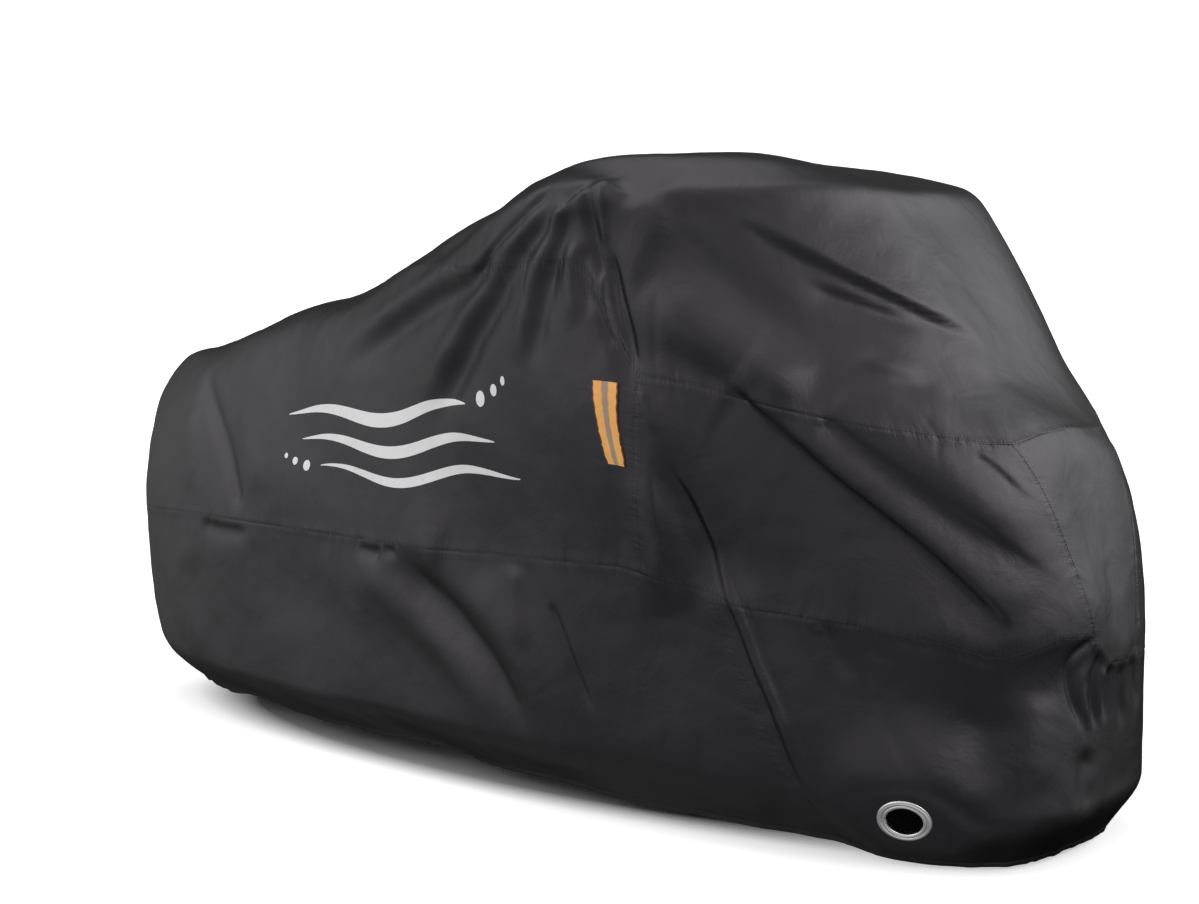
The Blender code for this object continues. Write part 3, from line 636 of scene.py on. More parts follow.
def along_table(table, turn):
    """What a table of turns and values says at each turn."""
    return np.interp(np.mod(turn, 2.0), table[:, 0], table[:, 1])


def eyelet_frame():
    """Centre and outward normal of the eyelet."""
    normal = np.array((math.sin(EYELET_BEARING) * math.cos(EYELET_DROP),
                       -math.cos(EYELET_BEARING) * math.cos(EYELET_DROP),
                       -math.sin(EYELET_DROP)))
    centre = body(np.array([EYELET_TURN]), np.array([EYELET_SHARE]))[0]
    return centre - normal * EYELET_SINK, normal


def crumple(points, size, seed):
    """Soft uneven noise at each point, from about -1 to 1."""
    return np.array([noise.noise(Vector(p) / size + seed * SEED_SHIFT) for p in points])


def cloth(turn, share, seams=None):
    """Points of the outer face of the cloth and the body's normals there."""
    points = body(turn, share)
    normals = body_normals(turn, share)
    relief = np.zeros(len(points))
    for fold in FOLDS:
        relief += fold_relief(fold, points, normals)
    for waves_round, waves_up, depth, phase in WAVES:
        relief += depth * np.sin(math.tau * (waves_round * turn / 2 + waves_up * share) + phase)
    relief += sum(depth * crumple(points, size, seed) for depth, size, seed in CRUMPLES)
    relief *= step_up((1 - share) / RIDGE_FADE)
    along = turn * HALF_ROUND
    up = share * CLOTH_HEIGHT
    gather = (lumps(along + GATHER_LEAN * up, GATHER_PITCH, GATHER_SEEDS[0])
              + WIDE_GATHER * lumps(along, WIDE_GATHER_PITCH, GATHER_SEEDS[1]))
    relief += along_table(HEM_GATHERS, turn) * gather * np.exp(-up / HEM_REACH)
    relief -= HEM_STITCH_DEPTH * np.exp(-((up - HEM_STITCH_UP) / HEM_STITCH_REACH) ** 2)
    if seams is not None:
        belly, upper, upright = seams
        relief += puckers(along, belly, along_table(BELLY_PUCKERS, turn), BELLY_SEED)
        relief += puckers(along, upper, along_table(UPPER_PUCKERS, turn), UPPER_SEED)
        relief += puckers(up, upright, UPRIGHT_PUCKER, UPRIGHT_SEED)
        relief += (seam_line(belly, along, BELLY_SEED + 1)
                   + seam_line(upper, along, UPPER_SEED + 1))
        relief += seam_line(upright, up, UPRIGHT_SEED + 1)
    points = points + normals * relief[:, None]
    centre, facing = eyelet_frame()
    away = points - centre
    height = away @ facing
    reach = np.linalg.norm(away - height[:, None] * facing, axis=1)
    flat = step_up((BLEND_REACH - reach) / (BLEND_REACH - FLAT_REACH))
    flat = flat ** FLAT_POWER * (np.linalg.norm(away, axis=1) < 2 * BLEND_REACH)
    return points - (flat * height)[:, None] * facing, normals


# --------------------------------------------------------------------------- sewn pieces

def even_places(count, length, low_steps, high_steps, room):
    """Even places from 0 to 1, with closer ones beside a seam or the hem."""
    places = np.linspace(0, 1, count + 1).tolist()
    if low_steps:
        places = [f for f in places if f == 0 or f * length > low_steps[-1] + room]
    if high_steps:
        places = [f for f in places if f == 1 or (1 - f) * length > high_steps[-1] + room]
    places += [step / length for step in low_steps]
    places += [1 - step / length for step in high_steps]
    return sorted(places)


def upright_columns(first, last, coarser):
    """Columns from one upright to another on the near side: four turns for each."""
    names = [upright.name for upright in UPRIGHTS]
    columns = []
    for i in range(names.index(first), names.index(last)):
        one, other = UPRIGHTS[i:i + 2]
        length = (other.belly - one.belly) * HALF_ROUND
        count = max(2, round(length / (one.pitch * coarser)))
        steps = [SEAM_STEPS if upright.seam else () for upright in (one, other)]
        for f in even_places(count, length, *steps, COLUMN_ROOM)[:-1]:
            columns.append([between(a, b, f) for a, b in zip(one[1:5], other[1:5])])
    columns.append(UPRIGHTS[names.index(last)][1:5])
    return np.array(columns)


def even_rise(turns_low, low, turns_high, high, fractions, saving):
    """Turns and shares that climb each column by even steps of its own length."""
    samples = np.linspace(0, 1, RISE_SAMPLES)
    turn = between(turns_low, turns_high, samples[:, None])
    share = between(low, high, samples[:, None])
    points = body(turn.ravel(), share.ravel()).reshape(turn.shape + (3,))
    step = np.linalg.norm(np.diff(points, axis=0), axis=-1)
    flat_top = step_up(((share[1:] + share[:-1]) / 2 - FLAT_TOP_SHARE) / FLAT_TOP_RUN)
    step *= 1.0 - saving * flat_top
    climbed = np.vstack([np.zeros(turn.shape[1]), np.cumsum(step, axis=0)])
    climbed /= climbed[-1]
    at = np.stack([np.interp(fractions, climbed[:, c], samples) for c in range(turn.shape[1])], 1)
    return between(turns_low, turns_high, at), between(low, high, at)


def piece_grid(band, columns):
    """Outer points of a band of the cover, their turns and shares, and how far the cloth is
    drawn together round the cover and up it."""
    hem, belly, upper, ridge = columns.T
    belly_share = along_table(BELLY_SEAM, belly)
    upper_share = along_table(UPPER_SEAM, upper)
    lines = ((hem, np.zeros_like(hem)), (belly, belly_share), (upper, upper_share),
             (ridge, np.ones_like(ridge)))
    foot = list(BANDS).index(band)
    mesh = BANDS[band]
    rows = even_places(mesh.rows, mesh.height, mesh.low_steps, mesh.high_steps, ROW_ROOM)
    turn, share = even_rise(*lines[foot], *lines[foot + 1], rows, mesh.saving)
    to_belly = to_upper = to_upright = np.ones(turn.shape)
    if band != "top":
        to_belly = np.abs(share - belly_share) * CLOTH_HEIGHT
        for side in (0, -1):
            to_side = np.abs(turn - turn[:, [side]]) * HALF_ROUND
            to_upright = np.minimum(to_upright, to_side)
    if band != "skirt":
        to_upper = np.abs(share - upper_share) * CLOTH_HEIGHT
    seams = [place.ravel() for place in (to_belly, to_upper, to_upright)]
    points = cloth(turn.ravel(), share.ravel(), seams)[0]
    drawn = np.maximum(along_table(BELLY_PUCKERS, turn) * np.exp(-to_belly / DRAWN_REACH),
                       along_table(UPPER_PUCKERS, turn) * np.exp(-to_upper / DRAWN_REACH))
    drawn_up = UPRIGHT_PUCKER * np.exp(-to_upright / DRAWN_REACH)
    return points.reshape(turn.shape + (3,)), turn, share, drawn, drawn_up


def add_object(name, data):
    """A new object of the scene."""
    thing = bpy.data.objects.new(name, data)
    SCENE.collection.objects.link(thing)
    return thing


def add_mesh(name, vertices, faces, uv, material, **drawn):
    """A smooth-shaded mesh object from points and faces, with its map in metres.

    Each further named argument is a number at every point, kept under that name."""
    mesh = bpy.data.meshes.new(name)
    mesh.from_pydata(vertices, [], faces)
    layer = mesh.uv_layers.new(name="cloth")
    corners = np.zeros(len(mesh.loops), np.int32)
    mesh.loops.foreach_get("vertex_index", corners)
    layer.data.foreach_set("uv", np.asarray(uv, np.float32)[corners].ravel())
    mesh.polygons.foreach_set("use_smooth", np.ones(len(mesh.polygons), bool))
    for key, values in drawn.items():
        attribute = mesh.attributes.new(key, "FLOAT", "POINT")
        attribute.data.foreach_set("value", np.asarray(values, np.float32).ravel())
    mesh.materials.append(material)
    mesh.update()
    mesh.validate()
    return add_object(name, mesh)


def quads(index):
    """Faces between numbered points whose rows climb and columns run round, facing outwards."""
    return np.stack([index[:-1, :-1], index[:-1, 1:], index[1:, 1:], index[1:, :-1]],
                    axis=-1).reshape(-1, 4)


def numbered(first, rows, columns):
    """Numbers of the points of a grid, from the first one on."""
    return first + np.arange(rows * columns).reshape(rows, columns)


def bake(thing):
    """Put the result of the modifiers in place of the mesh."""
    evaluated = thing.evaluated_get(bpy.context.evaluated_depsgraph_get())
    baked = bpy.data.meshes.new_from_object(evaluated)
    thing.modifiers.clear()
    before = thing.data
    thing.data = baked
    bpy.data.meshes.remove(before)


def thicken(thing, thickness):
    """Give a sheet its thickness, inwards, with crisp cut edges."""
    shell = thing.modifiers.new("thickness", "SOLIDIFY")
    shell.thickness = thickness
    shell.offset = -1.0
    bake(thing)
    thing.data.set_sharp_from_angle(angle=SHARP_ANGLE)


def cloth_map(turns, shares):
    """Map of the cloth in metres: round the cover and up it."""
    return np.stack([turns.ravel() * HALF_ROUND, shares.ravel() * CLOTH_HEIGHT], axis=1)


def add_panel(name, band, columns, material, holed=False):
    """One sewn piece of the skirt or the belly."""
    points, turn, share, drawn, drawn_up = piece_grid(band, columns)
    vertices = points.reshape(-1, 3)
    faces = quads(numbered(0, *turn.shape))
    if holed:
        vertices, faces = open_eyelet_hole(vertices, faces)
    panel = add_mesh(name, vertices, faces.tolist(), cloth_map(turn, share), material,
                     drawn_round=drawn, drawn_upright=drawn_up)
    remove_loose(panel.data)
    thicken(panel, CLOTH_THICKNESS)
    return panel


def remove_loose(mesh):
    """Delete the points that no face uses."""
    build = bmesh.new()
    build.from_mesh(mesh)
    loose = [v for v in build.verts if not v.link_faces]
    bmesh.ops.delete(build, geom=loose, context="VERTS")
    build.to_mesh(mesh)
    build.free()


def open_eyelet_hole(vertices, faces):
    """Leave out the faces in the hole and draw its edge to a circle."""
    centre, facing = eyelet_frame()
    away = vertices - centre
    height = away @ facing
    flat = away - height[:, None] * facing
    reach = np.linalg.norm(flat, axis=1)
    inside = (reach < CLOTH_HOLE) & (np.abs(height) < CLOTH_HOLE)
    keep = ~inside[faces].any(axis=1)
    dropped = np.unique(faces[~keep])
    edge = np.intersect1d(dropped, np.unique(faces[keep]))
    vertices = vertices.copy()
    vertices[edge] -= flat[edge] * (1 - CLOTH_HOLE / reach[edge])[:, None]
    return vertices, faces[keep]


def add_top_panel(material):
    """The roof and hood: near and far rows that close on the ridge line.

    The far side has a third as many columns, so each of its top faces meets three ridge steps."""
    near = np.vstack([upright_columns("tail", "seat", ROOF_PITCH)[:-1],
                      upright_columns("seat", "nose", HOOD_PITCH)])
    while len(near) % FAR_SHARE != 1:
        near = np.insert(near, 1, (near[0] + near[1]) / 2, axis=0)
    far = 2.0 - near[::-FAR_SHARE]
    near_grid = piece_grid("top", near)
    far_grid = piece_grid("top", far)
    rows, wide = near_grid[1].shape
    narrow = len(far)
    ridge = near_grid[0][-1].copy()
    ridge[:, 1] = 0.0
    vertices = np.vstack([near_grid[0][:-1].reshape(-1, 3),
                          far_grid[0][:-1, 1:-1].reshape(-1, 3), ridge])
    near_index = numbered(0, rows - 1, wide)
    inner = numbered(near_index.size, rows - 1, narrow - 2)
    far_index = np.hstack([near_index[:, -1:], inner, near_index[:, :1]])
    ridge_index = near_index.size + inner.size + np.arange(wide)
    faces = quads(near_index).tolist() + quads(far_index).tolist()
    faces += quads(np.stack([near_index[-1], ridge_index])).tolist()
    for c in range(narrow - 1):
        first = wide - 1 - FAR_SHARE * c
        top = ridge_index[first - FAR_SHARE:first + 1]
        faces.append([int(i) for i in (far_index[-1, c], far_index[-1, c + 1], *top)])
    turns, shares, drawn = (
        np.concatenate([near_part[:-1].ravel(), far_part[:-1, 1:-1].ravel(), near_part[-1]])
        for near_part, far_part in zip(near_grid[1:4], far_grid[1:4]))
    panel = add_mesh("roof_and_hood", vertices, faces, cloth_map(turns, shares), material,
                     drawn_round=drawn, drawn_upright=np.zeros(len(vertices)))
    thicken(panel, CLOTH_THICKNESS)
    return panel


# ------------------------------------------------------------------------------ materials

class Value:
    """A number, colour or vector in a node tree; sums and products add Math nodes."""

    def __init__(self, paint, socket):
        self.paint = paint
        self.socket = socket

    def math(self, operation, one, other):
        return self.paint.node("ShaderNodeMath", {"operation": operation}, {0: one, 1: other})

    def __add__(self, other):
        return self.math("ADD", self, other)

    def __radd__(self, other):
        return self.math("ADD", other, self)

    def __sub__(self, other):
        return self.math("SUBTRACT", self, other)

    def __rsub__(self, other):
        return self.math("SUBTRACT", other, self)

    def __mul__(self, other):
        return self.math("MULTIPLY", self, other)

    def __rmul__(self, other):
        return self.math("MULTIPLY", other, self)


class Nodes:
    """A node tree that a material or the surroundings are built in."""

    def __init__(self, tree):
        self.tree = tree

    def node(self, kind, settings=None, inputs=None, output=0):
        """Add a node, set it up, join its inputs and give one of its outputs."""
        made = self.tree.nodes.new(kind)
        for key, setting in (settings or {}).items():
            if key == "stops":
                ramp = made.color_ramp
                while len(ramp.elements) < len(setting):
                    ramp.elements.new(1.0)
                for element, (place, level) in zip(ramp.elements, setting):
                    element.position = place
                    element.color = (level, level, level, 1.0)
            else:
                setattr(made, key, setting)
        for key, value in (inputs or {}).items():
            if isinstance(value, Value):
                self.tree.links.new(value.socket, made.inputs[key])
            else:
                made.inputs[key].default_value = value
        return Value(self, made.outputs[output])

    def place(self, own_map=False):
        """A place in metres, or in the mesh's own map."""
        return self.node("ShaderNodeTexCoord", output="UV" if own_map else "Object")

    def at_each_point(self, key):
        """A number that the mesh keeps at its points."""
        return self.node("ShaderNodeAttribute", {"attribute_name": key}, output="Fac")

    def noise(self, at, scale, detail=2.0, rough=0.5, twist=0.0):
        """Cloudy noise from 0 to 1."""
        return self.node("ShaderNodeTexNoise", {},
                         {"Vector": at, "Scale": scale, "Detail": detail, "Roughness": rough,
                          "Distortion": twist})

    def ramp(self, value, stops):
        """Grey levels read at the value, from (place, level) stops."""
        return self.node("ShaderNodeValToRGB", {"stops": stops}, {0: value})

    def blend(self, factor, one, other):
        """A colour between two."""
        return self.node("ShaderNodeMix", {"data_type": "RGBA"}, {0: factor, 6: one, 7: other}, 2)

    def stretch(self, at, scale):
        """A place with each of its numbers scaled."""
        return self.node("ShaderNodeMapping", {}, {"Vector": at, "Scale": scale})


class Paint(Nodes):
    """The nodes of one material."""

    def __init__(self, name):
        self.material = bpy.data.materials.new(name)
        self.material.use_nodes = True
        super().__init__(self.material.node_tree)
        self.shader = self.tree.nodes["Principled BSDF"]

    def finish(self, colour, roughness, height=None, metallic=0.0, **plain):
        """Join what varies to the shader; plain inputs are one number all over."""
        varied = {"Base Color": colour, "Roughness": roughness, "Metallic": metallic}
        for key, value in varied.items():
            if isinstance(value, Value):
                self.tree.links.new(value.socket, self.shader.inputs[key])
            elif key == "Base Color":
                self.shader.inputs[key].default_value = (*value, 1.0)
            else:
                self.shader.inputs[key].default_value = value
        for key, value in plain.items():
            self.shader.inputs[key.replace("_", " ")].default_value = value
        if height is not None:
            bump = self.node("ShaderNodeBump", {}, {"Height": height, "Distance": 1.0})
            self.tree.links.new(bump.socket, self.shader.inputs["Normal"])
        return self.material


# Heights in metres of the cloth's crush marks, of the fine ones and of its weave, and how high
# the fine gathers stand for the depth that the mesh keeps at its points
CRUSH_HEIGHT = 0.0016
FINE_CRUSH_HEIGHT = 0.0002
WEAVE_HEIGHT = 0.00003
GATHER_HEIGHT = 1.3
WEAVE_SCALE = 180.0
# Fine gathers run across their seam: scale along the seam and away from it
GATHER_SCALES = (190.0, 26.0)


def coated_polyester():
    """Black coated polyester: fine plain weave, soft crush marks and an uneven soft gloss."""
    paint = Paint("coated polyester")
    at = paint.place()
    on_cloth = paint.place(own_map=True)
    warp, weft = (
        paint.node("ShaderNodeTexWave",
                   {"wave_type": "BANDS", "bands_direction": direction, "wave_profile": "SIN"},
                   {"Vector": on_cloth, "Scale": WEAVE_SCALE, "Distortion": 0.0}, "Fac")
        for direction in ("X", "Y"))
    weave = warp * weft
    crush = paint.noise(at, 16.0, detail=4.0, rough=0.55, twist=0.6)
    fine_crush = paint.noise(paint.stretch(at, (1.0, 1.0, 0.6)), 55.0, detail=3.0, twist=0.8)
    cloudy = paint.noise(at, 5.5, detail=3.0)
    round_folds, upright_folds = (
        paint.noise(paint.stretch(on_cloth, (*scales, 1.0)), 1.0, rough=0.6, twist=0.6)
        for scales in (GATHER_SCALES, GATHER_SCALES[::-1]))
    gathers = (round_folds * paint.at_each_point("drawn_round")
               + upright_folds * paint.at_each_point("drawn_upright")) * GATHER_HEIGHT
    height = (crush * CRUSH_HEIGHT + fine_crush * FINE_CRUSH_HEIGHT + weave * WEAVE_HEIGHT
              + gathers)
    roughness = 0.31 + 0.08 * cloudy + 0.05 * fine_crush
    colour = paint.blend(cloudy, (0.0078, 0.0076, 0.0085, 1.0), (0.0108, 0.0105, 0.0116, 1.0))
    return paint.finish(colour, roughness, height, Specular_IOR_Level=0.5,
                        Specular_Tint=(0.96, 0.90, 1.0, 1.0))


def thread_black():
    """Black sewing thread with its twist."""
    paint = Paint("black thread")
    twist = paint.noise(paint.place(), 900.0)
    return paint.finish(paint.blend(twist, (0.018, 0.018, 0.019, 1), (0.034, 0.034, 0.036, 1)),
                        0.62 + 0.1 * twist, twist * 0.00012)


def white_print():
    """White ink pressed into the weave, a little worn."""
    paint = Paint("white print")
    at = paint.place()
    worn = paint.noise(at, 70.0, detail=4.0, rough=0.6)
    grain = paint.noise(at, 700.0)
    colour = paint.blend(worn, (0.80, 0.80, 0.81, 1), (0.90, 0.90, 0.90, 1))
    return paint.finish(colour, 0.46 + 0.14 * worn, grain * 0.00006)


def polished_metal():
    """Nickel plated pressing: bright, with fine hairlines from handling."""
    paint = Paint("eyelet metal")
    at = paint.place()
    fine = paint.noise(paint.stretch(at, (1.0, 1.0, 6.0)), 260.0, detail=3.0)
    cloudy = paint.noise(at, 60.0)
    colour = paint.blend(cloudy, (0.86, 0.86, 0.85, 1), (0.93, 0.93, 0.93, 1))
    return paint.finish(colour, 0.20 + 0.14 * fine, fine * 0.00003, metallic=1.0)


def reflective_tape():
    """Orange tape with a grey reflecting stripe down its middle, and painted shade along its two
    sides.

    Its map runs from 0 to 1 across the tape, at the same scale along it."""
    paint = Paint("reflective tape")
    on_tape = paint.place(own_map=True)
    split = paint.node("ShaderNodeSeparateXYZ", {}, {0: on_tape})
    wander = paint.noise(on_tape, 6.0) * 0.10 - 0.05
    across = split + wander
    stripe = paint.ramp(across, ((0.0, 0.0), (0.36, 0.0), (0.42, 1.0), (0.60, 1.0), (0.66, 0.0)))
    # Painted shade: a dark red-brown outline along both sides of the tape
    edge = paint.ramp(split, ((0.0, 1.0), (0.050, 1.0), (0.080, 0.0), (0.920, 0.0), (0.950, 1.0)))
    grain = paint.noise(on_tape, 120.0)
    patches = paint.noise(on_tape, 5.0, detail=3.0)
    orange = paint.blend(patches, (0.95, 0.38, 0.075, 1), (1.0, 0.56, 0.17, 1))
    grey = paint.blend(grain, (0.33, 0.23, 0.16, 1), (0.46, 0.33, 0.23, 1))
    colour = paint.blend(edge, paint.blend(stripe, orange, grey), (0.10, 0.022, 0.008, 1))
    return paint.finish(colour, 0.42 + 0.1 * grain, grain * 0.0002)


# ------------------------------------------------------------------------------- fittings

def add_lathe(name, profile, segments, material, matrix):
    """A ring turned from a closed profile of (radius, height) places."""
    vertices = [matrix @ Vector((radius * math.cos(angle), radius * math.sin(angle), height))
                for angle in np.linspace(0, math.tau, segments, endpoint=False)
                for radius, height in profile]
    count = len(profile)
    starts = range(0, segments * count, count)
    faces = [(s + i, t + i, t + (i + 1) % count, s + (i + 1) % count)
             for s, t in zip(starts, (*starts[1:], 0)) for i in range(count)]
    return add_mesh(name, vertices, faces, np.zeros((len(vertices), 2)), material)


def facing_matrix(centre, normal):
    """Placement that turns local +Z along the normal."""
    turn = Vector(normal).to_track_quat("Z", "Y")
    return Matrix.Translation(Vector(centre)) @ turn.to_matrix().to_4x4()


def rounded(profile):
    """Round a closed profile off by cutting its corners."""
    points = np.array(profile, float)
    for _ in range(CORNER_CUTS):
        following = np.roll(points, -1, axis=0)
        points = np.stack([points * 0.75 + following * 0.25, points * 0.25 + following * 0.75],
                          axis=1).reshape(-1, 2)
    return [tuple(point) for point in points]


def add_eyelet(material):
    """Pressed ring with a rolled lip, one groove and a flat rim, and its barrel and washer."""
    profile = rounded([(EYELET_HOLE + away, height) for away, height in EYELET_SECTION])
    return add_lathe("eyelet_ring", profile, EYELET_SEGMENTS, material,
                     facing_matrix(*eyelet_frame()))


def add_strip(material):
    """Reflective strip on the cloth, its edges a little uneven."""
    f, g = np.meshgrid(np.linspace(0, 1, STRIP_ROWS + 1), np.linspace(0, 1, STRIP_COLUMNS + 1),
                       indexing="ij")
    share = between(*STRIP_SHARES, f)
    bow = STRIP_BOW * np.sin(math.pi * f)
    left, right = (between(foot, top, f) - bow
                   for foot, top in zip(STRIP_FOOT_TURNS, STRIP_TOP_TURNS))
    fray = FRAY_DEPTH * lumps(f * STRIP_LENGTH, FRAY_PITCH, FRAY_SEED)
    turn = between(left, right, g) + fray * (2 * g - 1)
    points, normals = cloth(turn.ravel(), share.ravel())
    uv = np.stack([g.ravel(), f.ravel() * STRIP_MAP_LENGTH], axis=1)
    strip = add_mesh("reflective_strip_cloth", points + normals * STRIP_LIFT,
                     quads(numbered(0, *f.shape)).tolist(), uv, material)
    thicken(strip, STRIP_THICKNESS)
    return strip


# ------------------------------------------------------------------------------- sewing

def seam_places(table, away):
    """A round seam moved up by a distance: close places on the cloth as (turn, share)."""
    turns = np.linspace(0.0, 2.0, SEAM_PLACES)
    place = cloth_map(turns, along_table(table, turns))
    place[-1, 1] = place[0, 1]
    way = unit(np.gradient(place, axis=0))
    place += away * np.stack([-way[:, 1], way[:, 0]], axis=1)
    return place[:, 0] / HALF_ROUND, place[:, 1] / CLOTH_HEIGHT


def upright_places(low, high, away):
    """A straight upright seam moved along by a distance, between two (turn, share) places."""
    f = np.linspace(UPRIGHT_END, 1 - UPRIGHT_END, UPRIGHT_PLACES)
    return between(low[0], high[0], f) + away / HALF_ROUND, between(low[1], high[1], f)


def stitch_row(turns, shares, upright=1.0):
    """Even places along a row on the cloth and the ways along it."""
    seams = [np.abs(shares - along_table(seam, turns)) * CLOTH_HEIGHT
             for seam in (BELLY_SEAM, UPPER_SEAM)] + [np.full(len(turns), upright)]
    line, normals = cloth(turns, shares, seams)
    line = line + normals * STITCH_LIFT
    run = np.concatenate(([0.0], np.cumsum(np.linalg.norm(np.diff(line, axis=0), axis=1))))
    at = np.arange(0.5 * STITCH_PITCH, run[-1], STITCH_PITCH)
    points, before, after = (
        np.stack([np.interp(at + shift, run, line[:, k]) for k in range(3)], axis=1)
        for shift in (0.0, -STITCH_WAY_STEP, STITCH_WAY_STEP))
    return points, unit(after - before)


def stitch_rows():
    """Every row of stitches on the cover."""
    rows = [stitch_row(*seam_places(BELLY_SEAM, STITCH_AWAY)),
            stitch_row(*seam_places(UPPER_SEAM, STITCH_AWAY)),
            stitch_row(np.linspace(0.0, 2.0, HEM_PLACES),
                       np.full(HEM_PLACES, HEM_STITCH_UP / CLOTH_HEIGHT))]
    for upright in UPRIGHTS:
        if not upright.seam:
            continue
        belly = (upright.belly, along_table(BELLY_SEAM, upright.belly))
        upper = (upright.upper, along_table(UPPER_SEAM, upright.upper))
        if upright.name == "skirt seam":
            ends = ((upright.hem, HEM_STITCH_UP / CLOTH_HEIGHT), belly)
        else:
            ends = (belly, upper)
        turns, shares = upright_places(*ends, STITCH_AWAY)
        rows.append(stitch_row(turns, shares, STITCH_AWAY))
        rows.append(stitch_row(2.0 - turns, shares, STITCH_AWAY))
    return rows


def stitch_tree(material):
    """Geometry nodes that lay one small rounded stitch along the way of every point."""
    tree = bpy.data.node_groups.new("stitches", "GeometryNodeTree")
    face = tree.interface
    face.new_socket(name="Places", in_out="INPUT", socket_type="NodeSocketGeometry")
    sizes = [face.new_socket(name=name, in_out="INPUT", socket_type="NodeSocketFloat")
             for name in ("Stitch length", "Stitch width")]
    face.new_socket(name="Stitches", in_out="OUTPUT", socket_type="NodeSocketGeometry")
    nodes = Nodes(tree)
    given = tree.nodes.new("NodeGroupInput")
    places, length, width = (Value(nodes, given.outputs[k]) for k in range(3))
    bead = nodes.node("GeometryNodeMeshUVSphere", {}, {"Segments": 6, "Rings": 4, "Radius": 0.5})
    way = nodes.node("GeometryNodeInputNamedAttribute", {"data_type": "FLOAT_VECTOR"},
                     {"Name": "way"})
    turned = nodes.node("FunctionNodeAlignRotationToVector", {"axis": "Z"}, {"Vector": way})
    size = nodes.node("ShaderNodeCombineXYZ", {}, {"X": width, "Y": width, "Z": length})
    laid = nodes.node("GeometryNodeInstanceOnPoints", {},
                      {"Points": places, "Instance": bead, "Rotation": turned, "Scale": size})
    real = nodes.node("GeometryNodeRealizeInstances", {}, {"Geometry": laid})
    soft = nodes.node("GeometryNodeSetShadeSmooth", {}, {"Geometry": real})
    done = nodes.node("GeometryNodeSetMaterial", {}, {"Geometry": soft, "Material": material})
    result = tree.nodes.new("NodeGroupOutput")
    tree.links.new(done.socket, result.inputs[0])
    return tree, [socket.identifier for socket in sizes]


def add_stitches(material):
    """All stitches as one mesh."""
    rows = stitch_rows()
    points, ways = (np.vstack(parts) for parts in zip(*rows))
    mesh = bpy.data.meshes.new("seam_stitches")
    mesh.from_pydata(points, [], [])
    attribute = mesh.attributes.new("way", "FLOAT_VECTOR", "POINT")
    attribute.data.foreach_set("vector", ways.astype(np.float32).ravel())
    thing = add_object("seam_stitches", mesh)
    tree, sizes = stitch_tree(material)
    layer = thing.modifiers.new("stitches", "NODES")
    layer.node_group = tree
    for identifier, size in zip(sizes, (STITCH_LENGTH, STITCH_WIDTH)):
        layer[identifier] = size
    bake(thing)
    return thing


# ------------------------------------------------------------------------------- the print

# Waves of the print in metres round the cover and up it: start, end, height, swing, width
# and phase; and its dots: place and radius
PRINT_WAVES = (
    (0.945, 1.520, 0.652, 0.0150, 0.0250, 0.3),
    (1.000, 1.590, 0.598, 0.0150, 0.0205, 0.9),
    (1.065, 1.640, 0.549, 0.0150, 0.0160, 1.5),
)
PRINT_DOTS = ((1.565, 0.662, 0.0115), (1.602, 0.672, 0.0085), (1.630, 0.683, 0.0060),
              (1.022, 0.553, 0.0100), (0.986, 0.560, 0.0075), (0.957, 0.569, 0.0052))
PRINT_LIFT = 0.0007
PRINT_THICKNESS = 0.0004
# Half bends of a wave, its least width, the power of its taper and the swing left at its
# ends; places along and across a wave, and round a dot
WAVE_BENDS = 2.6
WAVE_TIP = 0.0012
WAVE_TAPER = 0.8
WAVE_END_SWING = 0.4
WAVE_GRID = (161, 6)
DOT_PLACES = 28


def add_print(material):
    """Three long waves and two trails of dots, printed on the near side of the belly."""
    faces = []
    places = []
    count = 0
    for start, end, height, swing, width, phase in PRINT_WAVES:
        f, g = np.meshgrid(np.linspace(0.0, 1.0, WAVE_GRID[0]),
                           np.linspace(-0.5, 0.5, WAVE_GRID[1]), indexing="ij")
        taper = np.sin(math.pi * f) ** WAVE_TAPER
        v = height + (swing * np.sin(phase + WAVE_BENDS * math.tau / 2 * f)
                      * (WAVE_END_SWING + (1 - WAVE_END_SWING) * taper))
        v = v + g * (WAVE_TIP + (width - WAVE_TIP) * taper)
        places.append(np.stack([between(start, end, f).ravel(), v.ravel()], axis=1))
        faces += quads(numbered(count, *WAVE_GRID))[:, ::-1].tolist()
        count += f.size
    angles = np.linspace(0.0, math.tau, DOT_PLACES, endpoint=False)
    ring = np.stack([np.cos(angles), np.sin(angles)], axis=1)
    for u, v, radius in PRINT_DOTS:
        places.append(np.vstack([[(u, v)], (u, v) + 0.5 * radius * ring, (u, v) + radius * ring]))
        for k in range(DOT_PLACES):
            a = count + 1 + k
            b = count + 1 + (k + 1) % DOT_PLACES
            faces += [(count, a, b), (a, a + DOT_PLACES, b + DOT_PLACES, b)]
        count += 1 + 2 * DOT_PLACES
    places = np.vstack(places)
    points, normals = cloth(places[:, 0] / HALF_ROUND, places[:, 1] / CLOTH_HEIGHT)
    layer = add_mesh("wave_print", points + normals * PRINT_LIFT, faces, places, material)
    thicken(layer, PRINT_THICKNESS)
    return layer


# ---------------------------------------------------------------------------------- build

def round_the_rear(upright):
    """Columns that run round the rear, from an upright on the far side to the near one."""
    return np.vstack([-upright_columns("tail", upright, FAR_PITCH)[:0:-1],
                      upright_columns("tail", upright, 1.0)])


def round_the_nose(upright):
    """Columns that run round the nose, from an upright on the near side to the far one."""
    return np.vstack([upright_columns(upright, "nose", 1.0),
                      2.0 - upright_columns(upright, "nose", FAR_PITCH)[-2::-1]])


